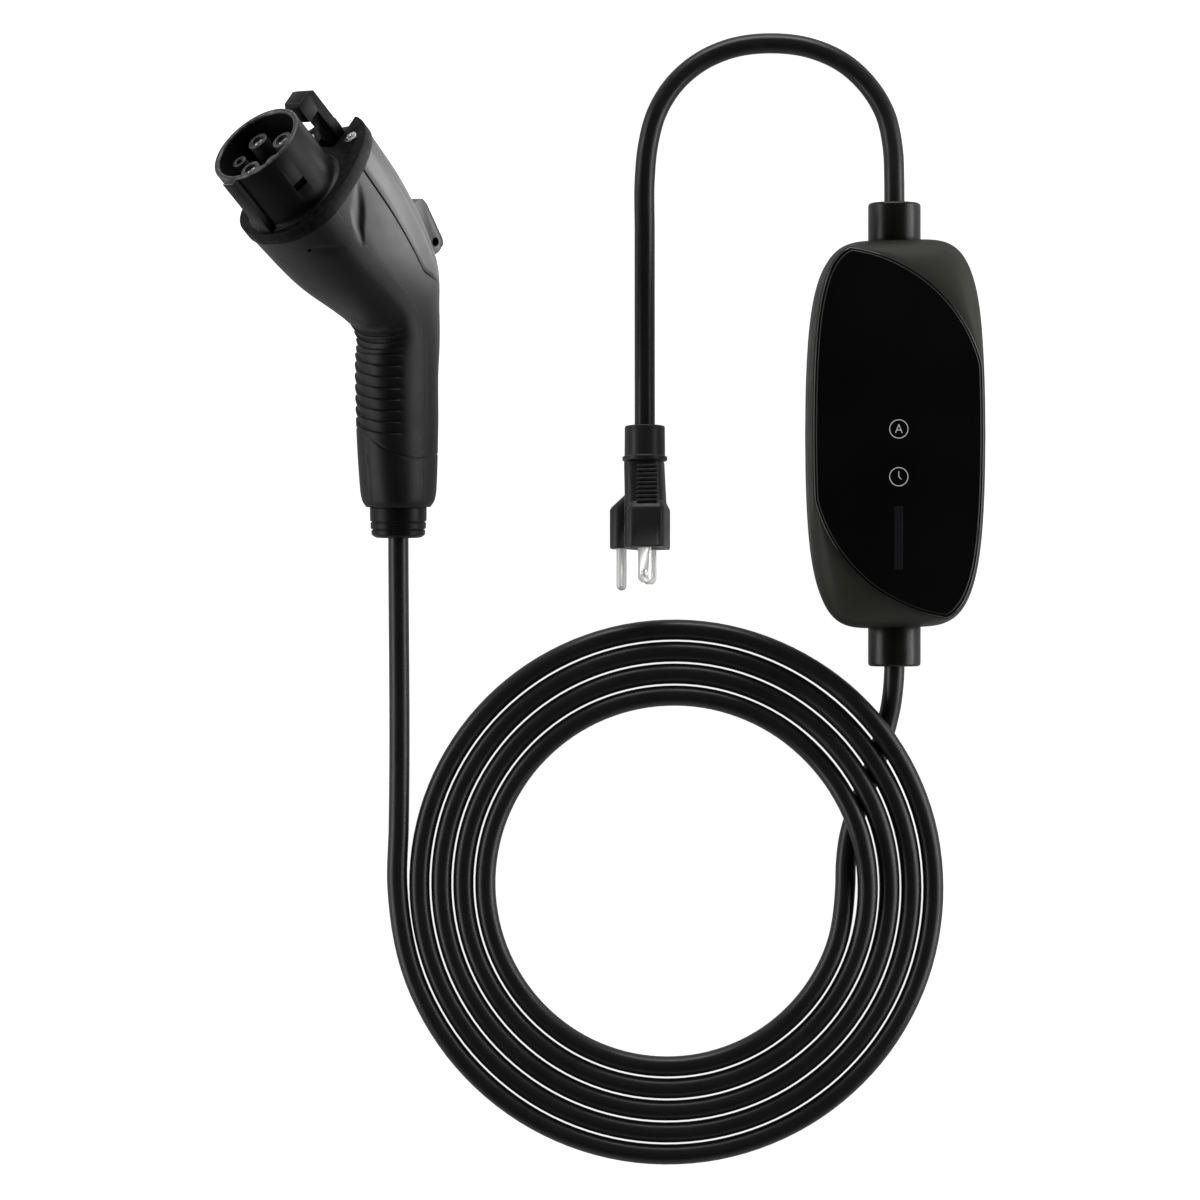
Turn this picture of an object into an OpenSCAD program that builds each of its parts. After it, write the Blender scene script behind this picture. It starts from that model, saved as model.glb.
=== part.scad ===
// Portable charger for an electric car: control box, vehicle connector, wall plug and their cords.
// It lies on a table. +Z is up, +Y is towards the supply end, and the origin is the middle of the box's back.

/* [Control box] */
// Length of the box between its crowned ends
box_l = 175; // [150:1:210]
// Width of the box across its middle
box_w = 81; // [70:1:100]
// Height of the box up to the seat of the glass
box_h = 41; // [38:1:50]
// How far each long side bows out at the middle
box_bow = 4.6; // [2:0.2:7]
// Height of the joint between the two shells, and of the cords' axes
joint_h = 13.5; // [12.6:0.1:15]
// Wall of both shells
box_wall = 2.4; // [2:0.1:3]
// Height at which the front shell starts to turn inwards
shoulder_h = 30; // [26:0.5:33]
// Rounding of the edge round the back
back_round = 5; // [3:0.5:7]
// Thickness of the seal between the shells
seal_t = 0.8; // [0.5:0.1:1.2]
// Width of the seal
seal_w = 1.4; // [1:0.1:1.8]

/* [Glass panel] */
// Thickness of the glass
glass_t = 2; // [1.5:0.1:3]
// Distance of the glass from the box's edge
glass_inset = 2.4; // [2:0.1:4]
// Width of the chamfer round the glass
glass_chamfer = 0.6; // [0.3:0.1:1]
// Width of the ledge that shows round the glass
glass_ledge = 0.7; // [0.5:0.1:1]
// Radius of the sweeping edge across two of the corners
sweep_r = 71.3; // [66:0.1:76]
// Centre of that edge, across the box
sweep_x = -31; // [-34:0.1:-28]
// Centre of that edge, along the box
sweep_y = 13.2; // [10:0.1:16]
// Length of the light guide under the glass
guide_l = 29; // [20:1:36]
// Width of the light guide
guide_w = 3.9; // [3:0.1:6]
// Distance of the light guide from the box's lower end
guide_end = 26; // [20:1:36]

/* [Cord sleeves] */
// Diameter of the sleeves on the box
sleeve_d = 24; // [20:0.5:25]
// Length of a sleeve outside the box
sleeve_l = 20.5; // [14:0.5:26]
// Diameter of a sleeve's neck in the wall
sleeve_neck_d = 19; // [16:0.5:19.5]
// Depth of the seat for a sleeve in the end of the box
sleeve_seat = 2.2; // [1.5:0.1:2.4]
// Rounding of a sleeve's rim
sleeve_round = 1.5; // [0.5:0.1:3]

/* [Electronics] */
// Length of the main board
board_l = 128; // [100:1:132]
// Width of the main board
board_w = 48; // [40:1:50]
// Thickness of the main board
board_t = 1.6; // [1:0.1:2]
// Height of the posts that carry the main board
board_post_h = 4; // [3:0.5:5]
// Diameter of those posts
board_post_d = 6; // [4:0.5:8]
// Length of the touch board
touch_board_l = 104; // [90:1:108]
// Width of the touch board
touch_board_w = 46; // [30:1:48]
// Thickness of the touch board
touch_board_t = 1.2; // [1:0.1:1.6]
// Length of a relay
relay_l = 29; // [24:0.5:32]
// Width of a relay
relay_w = 13; // [10:0.5:16]
// Height of a relay
relay_h = 16; // [12:0.5:20]
// Length of the transformer
transformer_l = 24; // [20:0.5:28]
// Width of the transformer
transformer_w = 20; // [16:0.5:22]
// Height of the transformer
transformer_h = 18; // [14:0.5:20]
// Diameter of a capacitor
capacitor_d = 11; // [8:0.5:12]
// Height of a capacitor
capacitor_h = 17; // [12:0.5:20]
// Outer diameter of the fault sensor's ring
sensor_d = 24; // [20:0.5:26]
// Inner diameter of the fault sensor's ring
sensor_hole_d = 12; // [8:0.5:14]
// Thickness of the fault sensor's ring
sensor_t = 9; // [6:0.5:12]

/* [Box screws] */
// Distance of the screws from the middle, across the box
screw_x = 28; // [26.5:0.5:29]
// Distance of the screws from the middle, along the box
screw_y = 58; // [54:0.5:60]
// Diameter of a screw's shank
screw_d = 3; // [2.5:0.1:3.5]
// Diameter of a screw's head
screw_head_d = 5.6; // [5:0.1:6]
// Height of a screw's head
screw_head_h = 2; // [1.5:0.1:2.5]
// Length of a screw under its head
screw_l = 24; // [20:0.5:28]
// Diameter of the posts that take the screws
screw_post_d = 7.6; // [7:0.1:8]

/* [Connector pose] */
// Place of the cord's end of the grip, across
gun_x = -226.5; // [-240:0.5:-215]
// Place of the cord's end of the grip, along
gun_y = -47; // [-60:0.5:-35]
// Height of the cord's end of the grip
gun_z = 16.4; // [16.4:0.1:20]
// How far the neck is raised
gun_tilt = 3; // [2.5:0.5:5]
// Turn of the grip about its own length
gun_roll = 47; // [44:1:50]

/* [Connector grip] */
// Straight length of the grip up to the bend
grip_l = 83; // [80:0.5:86]
// Radius of the bend
bend_r = 32; // [30:1:40]
// Angle of the bend
bend_a = 48; // [45:1:51]
// Length of the neck between the bend and the flange
neck_l = 66; // [64:0.5:70]
// Wall of the grip's shells
grip_wall = 2.6; // [2:0.1:3]
// Gap of the seam between the shells
grip_seam = 0.16; // [0.1:0.02:0.3]
// Length over which the butt is rounded
butt_round = 8; // [6:0.5:10]
// How far the rounding draws the butt's end in
butt_draw = 2.6; // [2:0.1:2.8]
// Depth of the butt towards the palm
butt_back = 17.2; // [16.4:0.1:18]
// Depth of the butt towards the fingers
butt_front = 17; // [16.4:0.1:18]
// Half the butt's width
butt_side = 16.2; // [16:0.1:17]
// Depth of the grip towards the palm
grip_back = 18.8; // [18:0.1:20]
// Depth of the grip towards the fingers
grip_front = 20; // [18:0.1:22]
// Half the grip's width
grip_side = 17.2; // [16:0.1:19]
// Depth of the elbow, halfway round the bend, towards the palm
elbow_back = 23.6; // [23:0.1:25]
// Depth of the elbow towards the fingers
elbow_front = 16; // [15:0.1:18]
// Half the width at the elbow
elbow_side = 18.4; // [17:0.1:20]
// Depth of the heel of the bend towards the palm
heel_back = 37.4; // [36:0.1:40]
// Depth of the inside of the bend
heel_front = 14.5; // [13:0.1:17]
// Half the width at the bend
heel_side = 20.5; // [19:0.1:23]
// Depth of the shoulder towards the latch
shoulder_back = 45; // [43:0.1:46]
// Depth of the shoulder away from the latch
shoulder_front = 22.6; // [21:0.1:24]
// Half the shoulder's width
shoulder_side = 25.5; // [24:0.1:27]
// Depth of the flange towards the latch
flange_back = 47; // [46:0.1:48]
// Depth of the flange away from the latch
flange_front = 25.5; // [25:0.1:27]
// Half the flange's width
flange_side = 28; // [27:0.1:30]
// Number of finger ribs
rib_count = 11; // [8:1:13]
// Pitch of the finger ribs
rib_pitch = 5; // [4:0.1:5.2]
// Depth of the finger ribs
rib_depth = 1.1; // [0.6:0.1:1.4]
// Distance of the lowest rib from the cord's end
rib_start = 47; // [44:0.5:50]
// Thickness of the strip over the palm side of the neck
strip_t = 1.5; // [1:0.1:1.6]
// Half the angle that the strip covers
strip_a = 66; // [60:1:70]
// Length of the strip
strip_l = 77; // [76:0.5:80]

/* [Cord collar] */
// Diameter of the collar at the cord's end of the grip
collar_d = 26; // [24:0.5:26.5]
// Length of the collar that shows
collar_l = 14; // [12:0.5:16]
// Depth of the collar's ring grooves
collar_groove = 0.9; // [0.5:0.1:1.2]
// Length of the collar's shank inside the grip
collar_shank_l = 10; // [6:0.5:14]

/* [Connector nose] */
// Diameter of the barrel
barrel_d = 43.8; // [43:0.1:44]
// Wall of the barrel
barrel_wall = 2.6; // [2.2:0.1:3]
// Length of the barrel in front of the flange
barrel_l = 31; // [30:0.5:34]
// Thickness of the flange
flange_t = 6; // [5:0.5:7]
// Overhang of the flange past the shells
flange_lip = 0.6; // [0.3:0.1:1]
// Thickness of the barrel's floor
barrel_floor = 3; // [2:0.5:4]
// Width of the flare at the barrel's foot
flare = 2.2; // [1:0.1:2.4]
// Width of the key rib
key_w = 6.4; // [5:0.1:7]
// Height of the key rib
key_h = 3; // [2:0.1:3.4]
// Width of the side windows
window_w = 6; // [4:0.5:8]
// Length of the side windows
window_l = 3.2; // [2:0.1:5]
// Distance of the side windows behind the mouth
window_z = 18; // [12:0.5:24]
// Angle of the side windows below the middle
window_a = 22; // [10:1:30]

/* [Contacts] */
// Distance between the two power contacts
power_span = 15.7; // [15:0.1:16.4]
// Height of the power contacts over the barrel's axis
power_y = 6.9; // [6:0.1:7.4]
// Distance between the two signal contacts
signal_span = 21.3; // [21:0.1:22]
// Depth of the signal contacts below the barrel's axis
signal_y = 5.6; // [5:0.1:6]
// Depth of the ground contact below the barrel's axis
ground_y = 10.6; // [10:0.1:11]
// Diameter of the pins that the power and ground contacts take
power_bore_d = 3.7; // [3.6:0.05:3.8]
// Diameter of the pins that the signal contacts take
signal_bore_d = 1.6; // [1.5:0.05:1.7]
// Diameter of a power contact
power_d = 6; // [5.5:0.1:6.4]
// Diameter of a signal contact
signal_d = 3.2; // [2.8:0.1:3.6]
// Wall of the shrouds round the contacts
shroud_wall = 1.5; // [1.2:0.1:1.7]
// Distance of the shrouds behind the mouth
shroud_z = 5; // [4:0.5:8]
// Depth of the bores in the contacts
bore_l = 14; // [12:0.5:15]
// Thickness of the contact carrier
carrier_t = 5; // [4:0.5:6]
// Gap between parts that only have to slip together
slip = 0.15; // [0.1:0.05:0.3]

/* [Latch] */
// Width of the latch lever
latch_w = 10; // [8:0.5:11]
// Thickness of the lever's arm
latch_t = 5; // [4:0.5:6]
// Height of the lever's arm over the barrel's axis
latch_y = 33.5; // [32:0.5:35]
// Distance of the hook's front behind the mouth
hook_z = 4; // [2:0.5:8]
// Length of the hook
hook_l = 10; // [8:0.5:12]
// Drop of the hook below its arm
hook_drop = 7; // [5:0.5:8]
// Distance of the hinge behind the flange
hinge_z = 11; // [9:0.5:13]
// Diameter of the hinge pin
hinge_d = 4; // [3:0.1:5]
// Running clearance round the hinge pin
hinge_gap = 0.05; // [0.02:0.01:0.08]
// Width of the slot in the flange for the lever
latch_slot_w = 13; // [12:0.5:14]
// Width between the lugs that carry the hinge pin
lug_gap = 19; // [18:0.5:20]
// Thickness of a lug
lug_t = 3; // [2:0.5:4]
// Length of the thumb button
button_l = 27; // [24:0.5:28]
// Width of the thumb button
button_w = 11; // [9:0.5:12]
// Distance of the thumb button's middle behind the flange
button_z = 60; // [58:0.5:62]
// Slope of the palm side under the thumb button
button_slope = 18; // [15:1:21]
// Depth of the thumb button's foot under the skin
button_foot = 9; // [8:0.5:10]
// Height of the thumb button over the strip
button_h = 7.5; // [6:0.1:9]
// Diameter of the lock hole through the thumb button
lock_hole_d = 4; // [3:0.5:5]
// Clearance round the thumb button
button_gap = 0.8; // [0.5:0.1:1]
// Wire of the return spring
spring_wire = 0.8; // [0.6:0.1:1]
// Turns of the return spring
spring_turns = 3; // [2:1:3]
// Diameter of the flange screws' heads
flange_screw_head_d = 6; // [5:0.1:6.6]
// Diameter of the flange screws' shanks
flange_screw_d = 3; // [2.5:0.1:3.5]
// Distance of the flange screws from the middle
flange_screw_x = 13.6; // [13:0.1:14.4]
// Height of the flange screws over the barrel's axis
flange_screw_y = 33; // [31:0.5:34]

/* [Wall plug] */
// Place of the plug's axis, across
plug_x = -114; // [-120:0.5:-108]
// Place of the plug's face, along
plug_y = -52; // [-60:0.5:-44]
// Height of the plug's axis
plug_z = 13.26; // [13.26:0.02:14]
// Rise of the plug towards its prongs, as it lies on its front block and its bead
plug_tilt = 4; // [3:0.5:4]
// Turn of the plug about its axis
plug_roll = 10; // [4:1:10]
// Length of the front block
plug_front_l = 18.4; // [16:0.1:22]
// Length of the ribbed body behind it
plug_body_l = 22; // [18:0.5:26]
// Length of the plug's sleeve
plug_sleeve_l = 14; // [10:0.5:18]
// Diameter of the plug's sleeve
plug_sleeve_d = 18.4; // [16:0.1:19]
// Width of the front block across the blades
plug_block_w = 23; // [22:0.5:24]
// Depth of the front block along the blades' width
plug_block_d = 17; // [15:0.5:19]
// Radius of the lobe round the ground pin
plug_lobe_r = 5.4; // [4.5:0.1:6]
// Distance between the blades
blade_span = 12.7; // [12.6:0.1:12.8]
// Width of a blade
blade_w = 6.35; // [6.1:0.05:6.6]
// Thickness of a blade
blade_t = 1.5; // [1.4:0.05:1.6]
// Length of a blade
blade_l = 16; // [15.9:0.1:18.2]
// Diameter of the hole in a blade
blade_hole_d = 3.2; // [3:0.1:4]
// Distance of the ground pin from the line of the blades
ground_pin_y = 11.9; // [11.8:0.05:12]
// Diameter of the ground pin
ground_pin_d = 4.75; // [4.65:0.05:4.85]
// Length of the ground pin
ground_pin_l = 19.2; // [19:0.1:22]
// Distance of the blades from the plug's axis
blade_x = 1.1; // [0.5:0.1:1.5]
// Depth of the prongs inside the plug
prong_root = 12; // [8:0.5:14]
// Step between the ground pin and its thicker root
pin_step = 0.5; // [0.3:0.1:0.8]

/* [Cords] */
// Diameter of both cords
cord_d = 9.2; // [8:0.1:10]
// Radius of the coil's outer strand
coil_r = 125.5; // [120:0.5:130]
// Distance from strand to strand
coil_pitch = 10.1; // [10:0.1:11]
// Turns of the coil
coil_turns = 4.5; // [4.5:1:5.5]

/* [Hidden] */
$fn = 64;
over = 1;

box_ink = "#2b2d27";
grip_ink = "#2e2f2f";
black_ink = "#1a1a1a";
metal_ink = "#c9cbcd";

// Corner shape of the box and sides of its outline
box_corner = 5;
box_sides = 96;
half_w = box_w / 2;
half_l = box_l / 2;
cord_r = cord_d / 2;
seat_h = box_h;
glass_top = seat_h + glass_t;
back_top = joint_h - seal_t / 2;
front_foot = joint_h + seal_t / 2;
guide_y = half_l - guide_end - guide_l / 2;
board_z = box_wall + board_post_h;
board_top = board_z + board_t;
touch_z = seat_h - box_wall - touch_board_t - 0.1;

// Curved length of the bend and the stations along the grip
bend_l = bend_r * bend_a * PI / 180;
heel_s = grip_l + bend_l;
flange_s = heel_s + neck_l;
nose_l = neck_l + flange_t + barrel_l;
mouth_y = grip_l + bend_r * sin(bend_a) + nose_l * cos(bend_a);
mouth_z = bend_r * (1 - cos(bend_a)) + nose_l * sin(bend_a);
barrel_r = barrel_d / 2;
barrel_inner_r = barrel_r - barrel_wall;
flange_front_z = -barrel_l;
flange_back_z = -barrel_l - flange_t;
carrier_z = flange_front_z + barrel_floor;
hinge_pos_z = flange_back_z - hinge_z;
hinge_pos_y = latch_y + 0.5;
button_pos_z = flange_back_z - button_z;
spring_r = hinge_d / 2 + 0.3 + spring_wire / 2;
half_grip_sides = 16;

// Ends of the box's sleeves and of the plug's sleeve, along the box
sleeve_end = half_l - sleeve_seat + sleeve_l;
plug_l = plug_front_l + plug_body_l + plug_sleeve_l + 1.8;
plug_end = plug_y + plug_l * cos(plug_tilt);
plug_end_z = plug_z - plug_l * sin(plug_tilt);

// The supply cord out of the top sleeve: share of the way across, reach past the sleeve, share of the drop
supply_out = [
    [0, -6.8, 0], [0, 1.2, 0.01], [0, 11.2, 0.135], [0.004, 26.2, 0.506], [0.035, 42.2, 0.82],
    [0.1, 54.7, 0.966],
    [0.193, 64.7, 1], [0.325, 71.7, 1], [0.491, 74.2, 1], [0.658, 71.7, 1], [0.79, 64.7, 1], [0.886, 54.7, 1],
    [0.952, 42.2, 1], [0.987, 27.2, 1], [1, 11.2, 1]
];
// And down into the plug: distance from its sleeve, share of the rise
supply_in = [
    [90.8, 0], [70.8, 0], [50.8, 0.085], [35.8, 0.317], [22.8, 0.59], [10.8, 0.84], [-0.2, 1]
];
supply_route = concat(
    [for (p = supply_out) [plug_x * p[0], sleeve_end + p[1], mix(joint_h, cord_r, p[2])]],
    [for (p = supply_in) [plug_x, plug_end + p[0], mix(cord_r, plug_end_z, p[1])]],
    [[plug_x, plug_end - 8, plug_end_z + 8 * tan(plug_tilt)]]
);

// The coil lies against the grip's cord, clear of the bottom sleeve and of the plug
coil_x = gun_x + coil_r - 1;
coil_reach = coil_r + cord_r + sleeve_d / 2 + 1.5;
coil_y = min(
    -sleeve_end - sqrt(coil_reach * coil_reach - coil_x * coil_x),
    plug_y - ground_pin_l - 10.3 - coil_r
);
coil_centre = [coil_x, coil_y];

// The grip's cord, from its collar down to the coil: reach, share of the drop
grip_out = [[-13, 0.09], [-33, 0.34], [-58, 0.68], [-83, 0.907], [-108, 0.99]];
grip_route = concat(
    [[gun_x, gun_y + 7, gun_z + 0.35], [gun_x, gun_y - 1, gun_z - 0.1]],
    [for (p = grip_out) [gun_x, gun_y + p[0], mix(gun_z, cord_r, p[1])]],
    [[gun_x, coil_y + 28, cord_r]]
);

// The box's cord, from the bottom sleeve to the coil: share of the way, bulge, share of the drop
box_out = [[0.24, 0.7, 0.13], [0.49, 1.3, 0.4], [0.75, 1.2, 0.73], [1, 0, 1]];
meet_cos = min(-(coil_x + 0.8) / (coil_r + 1.7), 0.7955);
box_meet = coil_centre + (coil_r + 1.7) * [meet_cos, sqrt(1 - meet_cos * meet_cos)];
box_route = concat(
    [[0, 6.8 - sleeve_end, joint_h], [0, -sleeve_end - 0.7, joint_h - 0.1]],
    [for (p = box_out)
        [
            box_meet[0] * p[0] + p[1],
            mix(-sleeve_end - 0.7, box_meet[1], p[0]),
            mix(joint_h, cord_r + 2.6, p[2])
        ]]
);

function power(v, e) = sign(v) * pow(abs(v), e);
function mix(a, b, f) = a + (b - a) * f;
function ease(f) = f * f * (3 - 2 * f);
function lifted(shape, z) = [for (p = shape) [p[0], p[1], z]];
function blend(a, b, f) = [for (i = [0:len(a) - 1]) mix(a[i], b[i], f)];
function quad(a, b, c, d) = [[a, b, c], [a, c, d]];
function joined(lists) = [for (l = lists) for (v = l) v];

// Outline of the box, drawn in by an inset
function outline(inset) = [
    for (i = [0:box_sides - 1])
        let (t = 360 * i / box_sides, e = 2 / box_corner, along = power(sin(t), e))
            [(half_w - inset - box_bow * along * along) * power(cos(t), e), (half_l - inset) * along]
];

// The same outline with the two sweeping corners taken off
function swept(p) =
    let (d = p / norm(p), c = [sweep_x, sweep_y], dc = d * c)
        d * min(norm(p), dc + sqrt(dc * dc - c * c + sweep_r * sweep_r));
function leaf(inset) = [for (p = outline(inset)) p[1] > 0 ? swept(p) : -swept(-p)];

// Closed solid through a stack of rings of equal count
module loft(rings) {
    n = len(rings[0]);
    last = (len(rings) - 1) * n;
    sides = joined([
        for (k = [0:len(rings) - 2], i = [0:n - 1])
            let (j = (i + 1) % n)
                quad(k * n + i, (k + 1) * n + i, (k + 1) * n + j, k * n + j)
    ]);
    caps = [[for (i = [0:n - 1]) i], [for (i = [n - 1:-1:0]) last + i]];
    polyhedron(points = joined(rings), faces = concat(sides, caps), convexity = 6);
}

// Open shell between an outer and an inner skin, each a list of arcs
module skin(outer, inner) {
    rows = len(outer);
    n = len(outer[0]);
    half = rows * n;
    faces = joined(concat(
        [for (k = [0:rows - 2], i = [0:n - 2])
            let (a = k * n + i)
                concat(
                    quad(a, a + 1, a + n + 1, a + n),
                    quad(half + a, half + a + n, half + a + n + 1, half + a + 1)
                )],
        [for (k = [0:rows - 2])
            let (a = k * n, b = a + n - 1)
                concat(
                    quad(a, a + n, half + a + n, half + a),
                    quad(b, half + b, half + b + n, b + n)
                )],
        [for (i = [0:n - 2])
            let (z = (rows - 1) * n + i)
                concat(
                    quad(i, half + i, half + i + 1, i + 1),
                    quad(z, z + 1, half + z + 1, half + z)
                )]
    ));
    polyhedron(points = concat(joined(outer), joined(inner)), faces = faces, convexity = 8);
}

// Round tube along a route
function heading(path, i) =
    let (a = path[max(i - 1, 0)], b = path[min(i + 1, len(path) - 1)]) (b - a) / norm(b - a);
function tube_ring(p, t, up, r, sides) =
    let (across = cross(up, t), e1 = across / norm(across), e2 = cross(t, e1))
        [for (k = [0:sides - 1]) p + r * (cos(360 * k / sides) * e1 + sin(360 * k / sides) * e2)];
module tube(path, r, sides, up = [0, 0, 1]) {
    loft([for (i = [0:len(path) - 1]) tube_ring(path[i], heading(path, i), up, r, sides)]);
}

// Places on the grip's curved middle line
function turn_at(s) = s < grip_l ? 0 : min((s - grip_l) / bend_l, 1) * bend_a;
function middle(s) =
    let (a = turn_at(s), rest = max(s - heel_s, 0))
        [min(s, grip_l) + bend_r * sin(a) + rest * cos(a), bend_r * (1 - cos(a)) + rest * sin(a)];

// Depths and half width of the grip at a station: palm, fingers, side
butt_s = collar_l + butt_round;
grip_stations = [
    collar_l, collar_l + butt_round * 0.35, butt_s, mix(butt_s, grip_l, 0.45), grip_l, grip_l + bend_l / 2,
    heel_s, heel_s + neck_l / 2, flange_s
];
butt_depths = [butt_back, butt_front, butt_side];
draw_depths = [butt_draw, butt_draw, butt_draw];
grip_depths = [
    butt_depths - draw_depths,
    butt_depths - draw_depths * 0.36,
    butt_depths,
    [grip_back - 0.6, grip_front - 0.6, grip_side - 0.4],
    [grip_back, grip_front, grip_side],
    [elbow_back, elbow_front, elbow_side],
    [heel_back, heel_front, heel_side],
    [shoulder_back, shoulder_front, shoulder_side],
    [flange_back, flange_front, flange_side]
];
function slope(i) =
    let (a = max(i - 1, 0), b = min(i + 1, len(grip_stations) - 1))
        (grip_depths[b] - grip_depths[a]) / (grip_stations[b] - grip_stations[a]);
function spans(s) = [for (i = [0:len(grip_stations) - 2]) if (s >= grip_stations[i]) i];
function depths(s) =
    let (
        found = spans(s),
        i = found[len(found) - 1],
        w = grip_stations[i + 1] - grip_stations[i],
        f = (s - grip_stations[i]) / w,
        g = 1 - f
    )
        grip_depths[i] * g * g * (1 + 2 * f) + grip_depths[i + 1] * f * f * (3 - 2 * f)
        + slope(i) * w * f * g * g - slope(i + 1) * w * g * f * f;

button_pos_y = depths(flange_s - button_z)[0];

// One arc of the grip's skin, drawn in by a wall and, on the finger side, by a rib
grip_corner = 2 / 2.3;
function skin_point(s, t, inset, shift) =
    let (
        d = depths(s),
        v = (sin(t) > 0 ? d[1] : d[0]) - inset,
        m = middle(s),
        a = turn_at(s),
        x = (d[2] - inset) * power(cos(t), grip_corner),
        h = v * power(sin(t), grip_corner) + shift
    )
        [x, m[0] - h * sin(a), m[1] + h * cos(a)];

finger_rows = concat(
    [for (f = [0, 0.15, 0.4, 0.7, 1]) [collar_l + f * butt_round, 0]],
    [for (f = [0.3, 0.65]) [mix(butt_s, rib_start, f), 0]],
    joined([for (k = [0:rib_count - 1])
        [[rib_start + k * rib_pitch, 1], [rib_start + (k + 0.82) * rib_pitch, 0]]]),
    [for (f = [0:0.125:1]) [mix(rib_start + rib_count * rib_pitch + 3, flange_s, f), 0]]
);
finger_turns = [for (k = [0:half_grip_sides]) 180 * k / half_grip_sides];

// The strip's recess runs from this station to the flange
strip_s = flange_s - strip_l;
palm_rows = concat(
    [for (f = [0, 0.15, 0.4, 0.7]) [collar_l + f * butt_round, 0]],
    [for (f = [0:1 / 9:1.01]) [mix(butt_s, strip_s - 0.8, f), 0]],
    [for (f = [0:1 / 12:1.01]) [mix(strip_s, flange_s, f), 1]]
);
strip_edge = 1.6;
strip_steps = 14;
side_steps = 5;
palm_turns = concat(
    [for (k = [0:side_steps]) [mix(180, 270 - strip_a - strip_edge, k / side_steps), 0]],
    [for (k = [0:strip_steps]) [mix(270 - strip_a, 270 + strip_a, k / strip_steps), 1]],
    [for (k = [0:side_steps]) [mix(270 + strip_a + strip_edge, 360, k / side_steps), 0]]
);
strip_turns = [
    for (k = [0:strip_steps])
        mix(270 - strip_a + 0.3, 270 + strip_a - 0.3, k / strip_steps)
];
strip_rows = [for (f = [0:1 / 12:1.01]) mix(strip_s + 0.3, flange_s, f)];
function flange_ring(lip) = [
    for (k = [0:47])
        let (t = 360 * k / 48, d = (sin(t) > 0 ? flange_back : flange_front) + lip)
            [(flange_side + lip) * power(cos(t), grip_corner), d * power(sin(t), grip_corner)]
];

module place_gun() {
    translate([gun_x, gun_y, gun_z])
        rotate([gun_tilt, 0, 0])
            rotate([0, gun_roll - 90, 0])
                children();
}

// The nose's own frame: origin in the mouth, +Z out of it, +Y towards the latch
module place_nose() {
    place_gun()
        translate([0, mouth_y, mouth_z])
            rotate([bend_a - 90, 0, 0])
                children();
}

// The thumb button's own frame: origin on the skin, +Y out of it, +Z towards the flange
module place_button() {
    place_nose()
        translate([0, button_pos_y, button_pos_z])
            rotate([-button_slope, 0, 0])
                children();
}

// The plug's own frame: origin on its face, +Z along the prongs, ground pin at -X
module place_plug() {
    translate([plug_x, plug_y, plug_z])
        rotate([90 - plug_tilt, 0, 0])
            rotate([0, 0, plug_roll])
                children();
}

module at_corners(x, y) {
    for (i = [-1, 1], j = [-1, 1]) translate([i * x, j * y, 0]) children();
}

// Cuts that seat the sleeves in both ends of the box
module sleeve_seats() {
    for (turn = [0, 180])
        rotate([0, 0, turn])
            translate([0, half_l - sleeve_seat, joint_h])
                rotate([-90, 0, 0]) {
                    cylinder(d = sleeve_d + 2 * slip, h = sleeve_seat + over);
                    translate([0, 0, -10]) cylinder(d = sleeve_neck_d + 2 * slip, h = 10 + over);
                }
}

module back_shell() {
    w = box_wall;
    color(box_ink)
        difference() {
            union() {
                loft([
                    lifted(outline(back_round), 0),
                    lifted(outline(back_round * 0.45), back_round * 0.22),
                    lifted(outline(back_round * 0.12), back_round * 0.62),
                    lifted(outline(0), back_round * 1.3),
                    lifted(outline(0), back_top),
                    lifted(outline(w), back_top),
                    lifted(outline(w), back_round * 1.3),
                    lifted(outline(back_round * 0.45 + w), w)
                ]);
                at_corners(screw_x, screw_y)
                    translate([0, 0, w - 0.5]) cylinder(d = screw_post_d, h = back_top - w + 0.5);
                at_corners(board_w / 2 - board_post_d, board_l / 2 - board_post_d)
                    translate([0, 0, w - 0.5]) cylinder(d = board_post_d, h = board_post_h + 0.5);
            }
            at_corners(screw_x, screw_y) {
                translate([0, 0, -over]) cylinder(d = screw_head_d + 2 * slip, h = screw_head_h + 0.5 + over);
                translate([0, 0, -over]) cylinder(d = screw_d + 2 * slip, h = joint_h + 2 * over);
            }
            sleeve_seats();
        }
}

module front_shell() {
    w = box_wall;
    rim = glass_inset - glass_ledge;
    drop = seat_h - shoulder_h;
    color(box_ink)
        difference() {
            union() {
                loft([
                    lifted(leaf(rim + w + 1), seat_h - w),
                    lifted(blend(outline(w + 0.6), leaf(rim + w + 1), 0.3), shoulder_h - w + drop * 0.5),
                    lifted(outline(w + 0.3), shoulder_h - w),
                    lifted(outline(w), front_foot),
                    lifted(outline(0), front_foot),
                    lifted(outline(0.3), shoulder_h),
                    lifted(blend(outline(0.6), leaf(rim), 0.18), shoulder_h + drop * 0.42),
                    lifted(blend(outline(0.8), leaf(rim), 0.5), shoulder_h + drop * 0.78),
                    lifted(blend(outline(1), leaf(rim), 0.8), shoulder_h + drop * 0.95),
                    lifted(leaf(rim), seat_h)
                ]);
                at_corners(screw_x, screw_y)
                    translate([0, 0, front_foot]) cylinder(d = screw_post_d, h = seat_h - w - front_foot);
            }
            at_corners(screw_x, screw_y)
                translate([0, 0, front_foot - over])
                    cylinder(d = screw_d, h = screw_l - joint_h + 2 * over + 4);
            translate([-guide_w / 2 - slip, -guide_y - guide_l / 2 - slip, seat_h - w - over])
                cube([guide_w + 2 * slip, guide_l + 2 * slip, w + 2 * over]);
            sleeve_seats();
        }
}

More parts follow.
